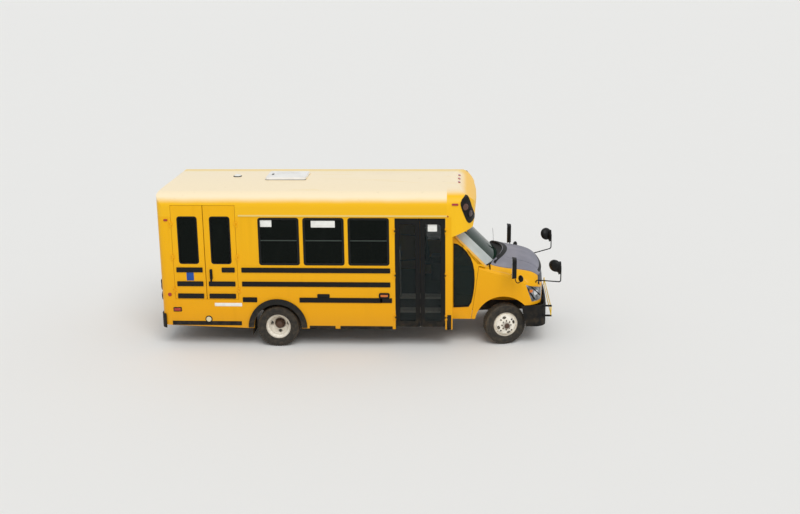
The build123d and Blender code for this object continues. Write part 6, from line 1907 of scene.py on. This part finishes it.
@dataclass
class SideTrim:
    """What stands on the passenger body's right and left sides."""

    window_z: float = 1.9485

    def build(self) -> None:
        """Make the side pieces."""
        self._right_marks()
        self._window_trim()
        self._skirt()
        self._handles()
        self._lamps()

    def _right_marks(self) -> None:
        """Blank labels: the blue square and the white strip by the lift, and blanks on two windows."""
        piece = Piece("lift_blank_square", "lift_door_rear", "clear_lens", [Look.BLUE])
        piece.plate(RIGHT_WALL, (-2.983, 1.304), (0.131, 0.150), 0.008, 0.0022, Look.BLUE, 0.0008)
        piece.done()
        strip = Piece("blank_strip", "bus_body", "clear_lens", [Look.PLATE])
        strip.plate(RIGHT_WALL, (-2.325, 0.787), (0.49, 0.062), 0.006, 0.0022, Look.PLATE, 0.0008)
        for middle, size in (((-1.613, 2.275), (0.235, 0.13)), ((-0.595, 2.262), (0.42, 0.12))):
            strip.plate(RIGHT_WALL, middle, size, 0.006, -0.0070, Look.PLATE, 0.0005, -0.0085)
        strip.done()

    def _window_trim(self) -> None:
        """Rubber round each passenger window and its thin pale sash line."""
        piece = Piece("window_seals", "bus_body", "black_rubber", [Look.RUBBER, Look.SASH])
        height, corner, width, high = 0.857, 0.048, 0.014, 0.0055
        tables = [(RIGHT_WALL, -1.378 + 0.788 * i) for i in range(3)]
        tables += [(LEFT_WALL, -1.378 + 0.788 * i) for i in range(-2, 3)]
        for face, x in tables:
            edge = rounded((x, self.window_z), 0.722, height, corner)
            piece.ring_slab(face, edge, width, SKIN, high, Look.RUBBER)
            sash = (x, self.window_z + 0.02)
            piece.plate(face, sash, (0.636, 0.012), 0.004, 0.0072, Look.SASH, 0.001, 0.0042)
        for side in (-1, 1):
            edge = rounded((side * 0.76, self.window_z), 0.516, height, corner)
            piece.ring_slab(REAR_WALL, edge, width, SKIN, high, Look.RUBBER)
        piece.done()

    def _skirt(self) -> None:
        """Black strips along the skirt between short yellow tabs."""
        piece = Piece("skirt_strips", "bus_body", "black_rubber", [Look.RUBBER])
        for face, spans in (
            (RIGHT_WALL, ((-0.88, -0.42), (-0.33, 0.60), (-3.35, -2.1))),
            (LEFT_WALL, ((-0.88, -0.2), (-0.1, 0.88), (-3.35, -2.1))),
        ):
            for start, end in spans:
                low, high = (0.353, 0.403) if start > -2 else (0.402, 0.477)
                outline = [(start, low), (end, low), (end, high), (start, high)]
                piece.slab(face, outline, SKIN, 0.008, Look.RUBBER, 0.002)
        piece.done()

    def _handles(self) -> None:
        """The lift doors' vertical handle, the black latch box, the filler cap and its ring."""
        handle = Piece("lift_handle", "lift_door_front", "black_plastic", [Look.TRIM])
        handle.plate(RIGHT_WALL, (-2.606, 1.348), (0.05, 0.19), 0.02, 0.02, Look.TRIM, 0.006)
        handle.plate(RIGHT_WALL, (-2.606, 1.30), (0.028, 0.16), 0.012, 0.04, Look.TRIM, 0.005, 0.012)
        handle.done()
        box = Piece("side_fittings", "bus_body", "black_plastic", [Look.TRIM, Look.CREAM, Look.RUBBER])
        box.plate(RIGHT_WALL, (-0.619, 0.957), (0.22, 0.075), 0.015, 0.014, Look.TRIM, 0.004)
        box.plate(RIGHT_WALL, (-0.619, 0.957), (0.13, 0.03), 0.01, 0.024, Look.TRIM, 0.003, 0.010)
        ring = [(0, 0), (0.062, 0), (0.064, 0.006), (0.058, 0.012), (0.048, 0.012)]
        ring += [(0.048, 0.006), (0, 0.006)]
        cap = [(0, 0.002), (0.046, 0.002), (0.046, 0.014), (0.04, 0.019), (0, 0.021)]
        for profile, look in ((ring, Look.RUBBER), (cap, Look.CREAM)):
            box.turned(profile, (-2.69, -1.2192, 0.515), (0, -1, 0), look)
        box.plate(RIGHT_WALL, (1.60, 0.487), (0.075, 0.27), 0.01, 0.012, Look.TRIM, 0.004)
        box.done()

    def _lamps(self) -> None:
        """Small side lamps and reflectors in their black surrounds, and the end of the right rail."""
        piece = Piece("side_lamps", "bus_body", "red_lens", [Look.RED, Look.TRIM, Look.AMBER])
        for face in (RIGHT_WALL, LEFT_WALL):
            piece.plate(face, (-3.247, 0.693), (0.15, 0.08), 0.012, 0.010, Look.TRIM, 0.003)
            piece.plate(face, (-3.247, 0.693), (0.12, 0.05), 0.01, 0.020, Look.RED, 0.005, 0.008)
            piece.slab(face, disc((-3.37, 0.969), 0.034), SKIN, 0.009, Look.RED, 0.003)
            piece.plate(face, (-3.36, 2.33), (0.07, 0.035), 0.012, 0.016, Look.RED, 0.004)
        edge = rounded((0.459, 0.972), 0.19, 0.10, 0.03)
        piece.ring_slab(RIGHT_WALL, edge, 0.034, SKIN, 0.024, Look.TRIM)
        piece.plate(RIGHT_WALL, (0.49, 0.882), (0.21, 0.086), 0.008, 0.012, Look.TRIM, 0.003)
        piece.done()


@dataclass
class RoofTrim:
    """Strobe, marker lamps and the hatch's ribs."""

    def build(self) -> None:
        """Make the roof pieces."""
        strobe = Piece("roof_strobe", "bus_body", "clear_lens", [Look.TRIM, Look.PLATE])
        base = [(0.0, -0.03), (0.075, -0.03), (0.078, 0.006), (0.07, 0.012), (0.0, 0.012)]
        dome = [(0.0, 0.01), (0.062, 0.01), (0.06, 0.02), (0.048, 0.030), (0.026, 0.036), (0.0, 0.038)]
        for profile, look in ((base, Look.TRIM), (dome, Look.PLATE)):
            strobe.turned(profile, (-2.3, 0.0, 2.87), (0, 0, 1), look)
        strobe.done()
        lid = Piece("hatch_lid_trim", "roof_hatch", "cream_paint", [Look.HATCH, Look.TRIM])
        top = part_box("roof_hatch")[1][2]
        face = Face((-1.37, 0, top), (1, 0, 0), (0, 1, 0), (0, 0, 1))
        lid.plate(face, (0, 0), (0.44, 0.34), 0.05, 0.0006, Look.HATCH, 0.0002, -0.004)
        lid.plate(face, (-0.27, 0), (0.04, 0.12), 0.015, 0.0008, Look.TRIM, 0.0002, -0.004)
        lid.done()
        self._markers()

    def _markers(self) -> None:
        """Clearance lamps at the front of the cap and at the rear of the roof."""
        piece = Piece("clearance_lamps", "bus_body", "red_lens", [Look.RED, Look.TRIM])
        target = Surface("front_cap", "body_roof", "body_rear")
        for y in (-0.35, -0.03, 0.29):
            piece.draped(FROM_ABOVE, rounded((1.765, y), 0.04, 0.10, 0.018), target, 0.014, Look.RED, 0.02)
        for face in (RIGHT_WALL, LEFT_WALL):
            piece.draped(face, rounded((1.70, 2.614), 0.11, 0.034, 0.014), target, 0.014, Look.RED, 0.02)
            piece.draped(face, disc((1.577, 2.407), 0.014, 16), target, 0.008, Look.RED, 0.01)
        for y in (-0.25, 0.0, 0.25):
            piece.plate(REAR_WALL, (y, 2.62), (0.11, 0.045), 0.015, 0.018, Look.RED, 0.005)
        piece.done()


@dataclass
class CapTrim:
    """The cap's black recesses, with a pair of warning lamps each side, and its seam.

    The seam's face lies above the cap, so the seam ends as a speck on the cap's top.
    """

    recess: tuple[Point2, ...] = (
        (-0.085, 2.775), (-0.035, 2.69), (0.045, 2.514), (0.168, 2.345), (0.02, 2.268), (-0.05, 2.262),
        (-0.105, 2.32), (-0.16, 2.44), (-0.2, 2.541), (-0.222, 2.631), (-0.195, 2.69), (-0.141, 2.735),
    )
    lamps: tuple[tuple[Point2, Look], ...] = (((-0.12, 2.56), Look.AMBER_OFF), ((0.0, 2.43), Look.RED_OFF))

    def build(self) -> None:
        """Lay the recesses and the seam on the cap."""
        looks = [Look.BLACK, Look.AMBER_OFF, Look.RED_OFF, Look.SEAM]
        piece = Piece("cap_trim", "bus_body", "black_plastic", looks)
        target = Surface("front_cap")
        for side in (-1, 1):
            out = Vector((0.62, side * 0.78, 0.0)).normalized()
            right = Vector((0.78, -side * 0.62, 0.0)).normalized()
            face = Face((1.9, side * 0.98, 0), tuple(right), (0, 0, 1), tuple(out))
            piece.draped(face, softened(self.recess), target, 0.009, Look.BLACK, 0.03)
            for middle, look in self.lamps:
                self._lamp(piece, *target.under(face, *middle), look)
        seam = ribbon([(1.562, 2.36 + 0.06 * i) for i in range(4)], 0.008)
        for side in (-1, 1):
            face = Face((0, 0, 3.0), (1, 0, 0), (0, 0, 1), (0, side, 0))
            piece.draped(face, seam, target, 0.001, Look.SEAM)
        piece.done()

    @staticmethod
    def _lamp(piece: Piece, place: Vector, normal: Vector, look: Look) -> None:
        """One round warning lamp in its hood."""
        bezel = [(0, -0.01), (0.078, -0.01), (0.08, 0.010), (0.07, 0.018), (0.064, 0.010), (0, 0.004)]
        lens = [(0, 0), (0.063, 0), (0.06, 0.010), (0.045, 0.015), (0.03, 0.018), (0, 0.019)]
        for profile, finish in ((bezel, Look.TRIM), (lens, look)):
            piece.turned(profile, tuple(place), tuple(normal), finish)


def softened(outline: Sequence[Point2]) -> list[Point2]:
    """Cut each corner of an outline once."""
    points = []
    for start, end in zip(outline, [*outline[1:], outline[0]]):
        for share in (0.25, 0.75):
            points.append(tuple(a + (b - a) * share for a, b in zip(start, end)))
    return points


@dataclass
class NoseTrim:
    """Hood edges, cowl, wipers, headlamps, bumper steps, blank plate and aerial."""

    def build(self) -> None:
        """Make the nose pieces."""
        self._hood_edges()
        self._cowl()
        self._lamps()
        self._bumper()
        self._aerial()

    def _hood_edges(self) -> None:
        """The black front edge and the two long creases of the hood."""
        piece = Piece("hood_trim", "hood", "hood_paint", [Look.TRIM, Look.HOOD])
        target = Surface("hood")
        down = Face((0, 0, 2.0), (1, 0, 0), (0, 1, 0), (0, 0, 1))
        across = [-0.62 + 0.062 * i for i in range(21)]
        front = [(3.206 + 0.07 * (1 - (y / 0.64) ** 2) - 0.022, y) for y in across]
        piece.draped(down, ribbon(front, 0.035), target, 0.004, Look.TRIM, 0.06)
        rear = [
            (2.56 - 0.23 * (0.1 * i - 0.97) ** 2 / 0.95 + 0.05, 0.076 * i - 0.74) for i in range(20)
        ]
        piece.draped(down, ribbon(rear, 0.075), target, 0.004, Look.TRIM, 0.06)
        for side in (-1, 1):
            crease = [(2.62 + 0.055 * i, side * (0.50 + 0.003 * i)) for i in range(11)]
            piece.draped(down, ribbon(crease, 0.022), target, 0.005, Look.HOOD, 0.06)
        piece.done()

    def _cowl(self) -> None:
        """The wide black cowl in front of the windshield, and the wipers on it."""
        piece = Piece("cowl_and_wipers", "bus_body", "black_plastic", [Look.TRIM, Look.RUBBER])
        front = CabFront()
        low = 1.444
        rings = []
        for share in (-1 + index / 12 for index in range(25)):
            y_glass, y_hood = share * 0.875, share * 0.785
            glass = front.glass_x(front.glass_foot, y_glass) - 0.012
            hood = front.hood_rear(share)
            top = front.hood_z(hood + 0.03, y_hood)
            section = (
                (glass, y_glass, low + 0.012),
                (glass + (hood - glass) * 0.35, y_glass, low + (top - low) * 0.22),
                (hood + 0.012, y_hood, top - 0.03),
                (hood + 0.03, y_hood, top - 0.03),
                (hood + 0.03, y_hood, top - 0.05),
                (glass + (hood - glass) * 0.4, y_glass, low - 0.006),
                (glass, y_glass, low - 0.006),
            )
            rings.append([Vector(point) for point in section])
        piece.rings(rings, Look.TRIM)
        for y in (-0.1, 0.52):
            self._wiper(piece, y)
        piece.done()

    @staticmethod
    def _wiper(piece: Piece, y: float) -> None:
        """A wiper's arm and blade.

        The face that it is looked up from lies behind the windshield, so the rods run back into
        the cabin instead of along the glass. A face ahead of the bus would put that right.
        """
        reach, steps = -0.62, 8
        target = Surface("cab_shell", "window_glass")
        ahead = Face((0, 0, 0), (0, 1, 0), (0, 0, 1), (1, 0, 0))
        route = []
        for share in (step / steps for step in range(steps + 1)):
            place, normal = target.under(ahead, y + reach * share, 1.50 + 0.10 * share)
            route.append(place + normal * 0.014)
        foot = (2.45 - 0.1 * abs(y), y, 1.452)
        piece.tube([foot] + [tuple(point) for point in route[2:]], 0.007, Look.TRIM, 8)
        blade = [tuple(point + Vector((0.002, 0, -0.012))) for point in route]
        piece.tube(blade, 0.006, Look.RUBBER, 6)

    def _lamps(self) -> None:
        """Bowls behind the clear lenses and an amber corner in each."""
        piece = Piece("lamp_bowls", "bus_body", "clear_lens", [Look.CHROME, Look.AMBER, Look.TRIM])
        section = ((0, -0.05), (0.5, -0.045), (1, 0), (1, 0.006), (0.93, 0.004), (0.45, -0.036), (0, -0.04))
        for side in (-1, 1):
            for y, z, radius in ((0.67, 0.93, 0.072), (0.80, 0.97, 0.06)):
                bowl = [(radius * share, height) for share, height in section]
                centre = (3.165 - (y - 0.67) * 0.35, side * y, z)
                piece.turned(bowl, centre, (1, side * 0.15, 0), Look.CHROME)
        target = Surface("headlamps")
        rear_edge = [(2.97, 1.09), (2.985, 1.03), (3.10, 0.83), (3.14, 0.82)]
        brow = ribbon([(3.03, 1.10), (3.10, 1.02), (3.17, 0.94), (3.21, 0.88)], 0.016)
        for face in (RIGHT_WALL, LEFT_WALL):
            for outline, lift, look, pitch in (
                (rear_edge, 0.004, Look.TRIM, 0.04),
                (rounded((3.045, 1.0), 0.055, 0.05, 0.012), 0.006, Look.AMBER, 0.03),
                (rounded((3.13, 0.96), 0.07, 0.09, 0.03), 0.005, Look.CHROME, 0.03),
                (brow, 0.006, Look.TRIM, 0.04),
            ):
                piece.draped(face, outline, target, lift, look, pitch)
        piece.done()

    def _bumper(self) -> None:
        """Step pads on the front bumper and a blank plate below the grille."""
        piece = Piece("bumper_trim", "bus_body", "black_rubber", [Look.RUBBER, Look.PLATE, Look.NOSING])
        front = Surface("bumpers")
        for outline, lift, look, pitch in (
            (rounded((-0.62, 0.69), 0.36, 0.05, 0.012), 0.008, Look.NOSING, 0.05),
            (rounded((0.62, 0.69), 0.36, 0.05, 0.012), 0.008, Look.NOSING, 0.05),
            (rounded((0, 0.56), 0.31, 0.16, 0.012), 0.006, Look.PLATE, 0.05),
            (rounded((0, 0.39), 1.5, 0.04, 0.012), 0.006, Look.RUBBER, 0.08),
        ):
            piece.draped(FROM_AHEAD, outline, front, lift, look, pitch)
        piece.done()

    def _aerial(self) -> None:
        """A short thin aerial on the left fender."""
        piece = Piece("aerial", "bus_body", "black_plastic", [Look.TRIM])
        base = [(0, -0.02), (0.018, -0.02), (0.016, 0.016), (0.006, 0.03), (0, 0.03)]
        piece.turned(base, (2.42, 0.93, 1.385), (0, 0, 1), Look.TRIM)
        piece.tube([(2.42, 0.93, 1.40), (2.415, 0.932, 1.55), (2.405, 0.935, 1.68)], 0.003, Look.TRIM, 6)
        piece.done()


@dataclass
class EntranceTrim:
    """Step nosings, the slanted grab rail and the leaves' edge rubbers."""

    middle_x: float = 1.0945
    half: float = 0.425
    steps: tuple[Point2, ...] = ((-1.170, 0.42), (-0.93, 0.60), (-0.70, 0.79))

    def build(self) -> None:
        """Make the entrance pieces."""
        piece = Piece("entrance_steps", "bus_body", "floor_steel", [Look.NOSING, Look.BRIGHT, Look.FLOOR])
        for y, z in self.steps:
            nose = Face((self.middle_x, y, z), (1, 0, 0), (0, 0, 1), (0, -1, 0))
            piece.slab(nose, self._band(-0.032, 0.004), -0.004, 0.004, Look.NOSING)
            top = Face((self.middle_x, y, z), (1, 0, 0), (0, 1, 0), (0, 0, 1))
            piece.slab(top, self._band(-0.003, 0.2), SKIN, 0.004, Look.NOSING)
        bend = (0.72, -0.72, 1.76)
        rail = [(0.69, -1.12, 0.74), (0.70, -1.09, 0.80), (0.719, -0.99, 1.70), (0.72, -0.93, 1.76), bend]
        piece.tube(curve_through(rail), 0.016, Look.BRIGHT, 10)
        piece.tube([bend, (0.72, -0.72, 0.79)], 0.016, Look.BRIGHT, 10)
        piece.done()
        for word, x, sign in (("rear", 1.0885, -1), ("front", 1.1005, 1)):
            rubber = Piece("edge_rubber_" + word, "entrance_leaf_" + word, "black_rubber", [Look.RUBBER])
            near, far = x - sign * 0.004, x + sign * 0.02
            outline = [(near, 0.41), (far, 0.41), (far, 2.36), (near, 2.36)]
            rubber.slab(RIGHT_WALL, outline, SKIN, 0.008, Look.RUBBER, 0.003)
            if word == "front":
                rubber.plate(RIGHT_WALL, (1.31, 2.2), (0.16, 0.13), 0.006, -0.0145, Look.PLATE, 0.0, -0.0156)
            rubber.done()

    def _band(self, low: float, high: float) -> list[Point2]:
        """A band as wide as the entrance."""
        return [(-self.half, low), (self.half, low), (self.half, high), (-self.half, high)]


def curve_through(points: Sequence[Point3]) -> list[Point3]:
    """Round a route's corners by cutting them three times, keeping its ends."""
    route = [Vector(point) for point in points]
    for _ in range(3):
        after = [route[0]]
        for start, end in zip(route[:-1], route[1:]):
            after += [start.lerp(end, 0.25), start.lerp(end, 0.75)]
        route = [*after, route[-1]]
    return [tuple(point) for point in route]


@dataclass
class RearTrim:
    """Lamp surrounds, the blank plate and bars."""

    lamps: tuple[Point3, ...] = (
        (0.8, 2.52, 0.088),
        (0.56, 2.52, 0.088),
        (1.02, 0.9, 0.0704),
        (1.02, 1.08, 0.0704),
    )

    def build(self) -> None:
        """Make the rear pieces."""
        piece = Piece("rear_trim", "bus_body", "black_plastic", [Look.TRIM, Look.PLATE, Look.RED])
        for y, z, radius in self.lamps:
            for side in (-1, 1):
                outline = disc((side * y, z), radius + 0.02, 36)
                piece.ring_slab(REAR_WALL, outline, 0.022, SKIN, 0.018, Look.TRIM)
        piece.plate(REAR_WALL, (-0.86, 0.68), (0.31, 0.16), 0.012, 0.004, Look.PLATE, 0.001)
        for side in (-1, 1):
            piece.plate(REAR_WALL, (side * 0.83, 1.172), (0.6, 0.088), 0.01, 0.012, Look.TRIM, 0.003)
        piece.done()


@dataclass
class StopArmTrim:
    """The stop arm's white border on both faces."""

    def build(self) -> None:
        """Lay the border round the blank octagon."""
        piece = Piece("stop_arm_border", "stop_arm", "sign_red", [Look.SIGN_EDGE])
        x, z = 0.886 - 0.06 - 0.228, 1.3
        reach = 0.222 / math.cos(math.pi / 8)
        turns = [math.pi / 8 + math.pi / 4 * step for step in range(8)]
        points = [(x + reach * math.cos(turn), z + reach * math.sin(turn)) for turn in turns]
        for face_y, out in ((1.252, 1), (1.240, -1)):
            face = Face((0, face_y, 0), (1, 0, 0), (0, 0, 1), (0, out, 0))
            piece.ring_slab(face, points, 0.018, SKIN, 0.0014, Look.SIGN_EDGE)
        piece.done()


@dataclass
class MirrorFaces:
    """Reflecting faces of the flat mirrors and domes of the crossovers."""

    def build(self) -> None:
        """Fit the mirror faces."""
        piece = Piece("mirror_faces", "bus_body", "black_plastic", [Look.MIRROR, Look.TRIM])
        behind = Face((2.692, 0, 0), (0, 1, 0), (0, 0, 1), (-1, 0, 0))
        for side in (-1, 1):
            piece.plate(behind, (side * 1.25, 1.5), (0.168, 0.326), 0.03, 0.003, Look.MIRROR, 0.001)
            axis = (-0.5, side * 0.8, -0.3)
            piece.turned(self._dome(0.118, 0.07, 12), (3.444, side * 1.15, 1.515), axis, Look.BLACK, 28)
            stem = [(x, side * 1.15, z) for x, z in ((3.47, 1.50), (3.50, 1.44), (3.51, 1.36))]
            piece.tube(stem, 0.008, Look.TRIM, 8)
            axis = (-0.8, side * 0.6, 0.0)
            piece.turned(self._dome(0.062, 0.03, 10), (2.85, side * 1.19, 1.29), axis, Look.BLACK, 24)
            bends = ((2.74, 1.24, 1.36), (2.76, 1.22, 1.24), (2.80, 1.2, 1.205), (2.85, 1.19, 1.24))
            piece.tube(curve_through([(x, side * y, z) for x, y, z in bends]), 0.008, Look.TRIM, 8)
        piece.done()

    @staticmethod
    def _dome(radius: float, half_height: float, steps: int) -> list[Point2]:
        """Half the outline of a flattened ball, from its top to its foot."""
        turns = [math.pi * step / steps for step in range(steps + 1)]
        return [(radius * math.sin(turn), half_height * math.cos(turn)) for turn in turns]


def main() -> None:
    """Build the studio, dress the frame and add every sub-assembly in order."""
    logging.basicConfig(level=logging.INFO, format="%(name)s: %(message)s")
    toe, track, knuckle_y, axle_z = math.radians(15), 1.763, 0.8, 0.37
    wheels = []
    for side, word in ((-1, "right"), (1, "left")):
        out = (-side * math.sin(toe), side * math.cos(toe), 0.0)
        reach = track / 2 - knuckle_y
        centre = (2.563 + out[0] * reach, side * knuckle_y + out[1] * reach, axle_z)
        node = "front_wheel_" + word
        wheels.append(Wheel("front_" + word, node, node, "front_tyre_" + word, centre, out, (0.0,)))
        node = "rear_wheels_" + word
        wheels.append(
            Wheel(
                "rear_" + word,
                node,
                node,
                "rear_tyres_" + word,
                (-1.45, side * 0.965, axle_z),
                (0.0, float(side), 0.0),
                (-0.131, 0.131),
                nut_seat=0.004,
                stain=0.1,
                hand_holes=(0.0, 90.0, 180.0, 270.0),
            )
        )
    Studio().build()
    CarriedNodes().dress()
    for wheel in wheels:
        wheel.build()
    for assembly in (
        CabFront(),
        DoorGlass(),
        SeatPads(),
        SideTrim(),
        RoofTrim(),
        CapTrim(),
        NoseTrim(),
        EntranceTrim(),
        RearTrim(),
        StopArmTrim(),
        MirrorFaces(),
    ):
        log.info("building %s", type(assembly).__name__)
        assembly.build()


if __name__ == "__main__":
    main()
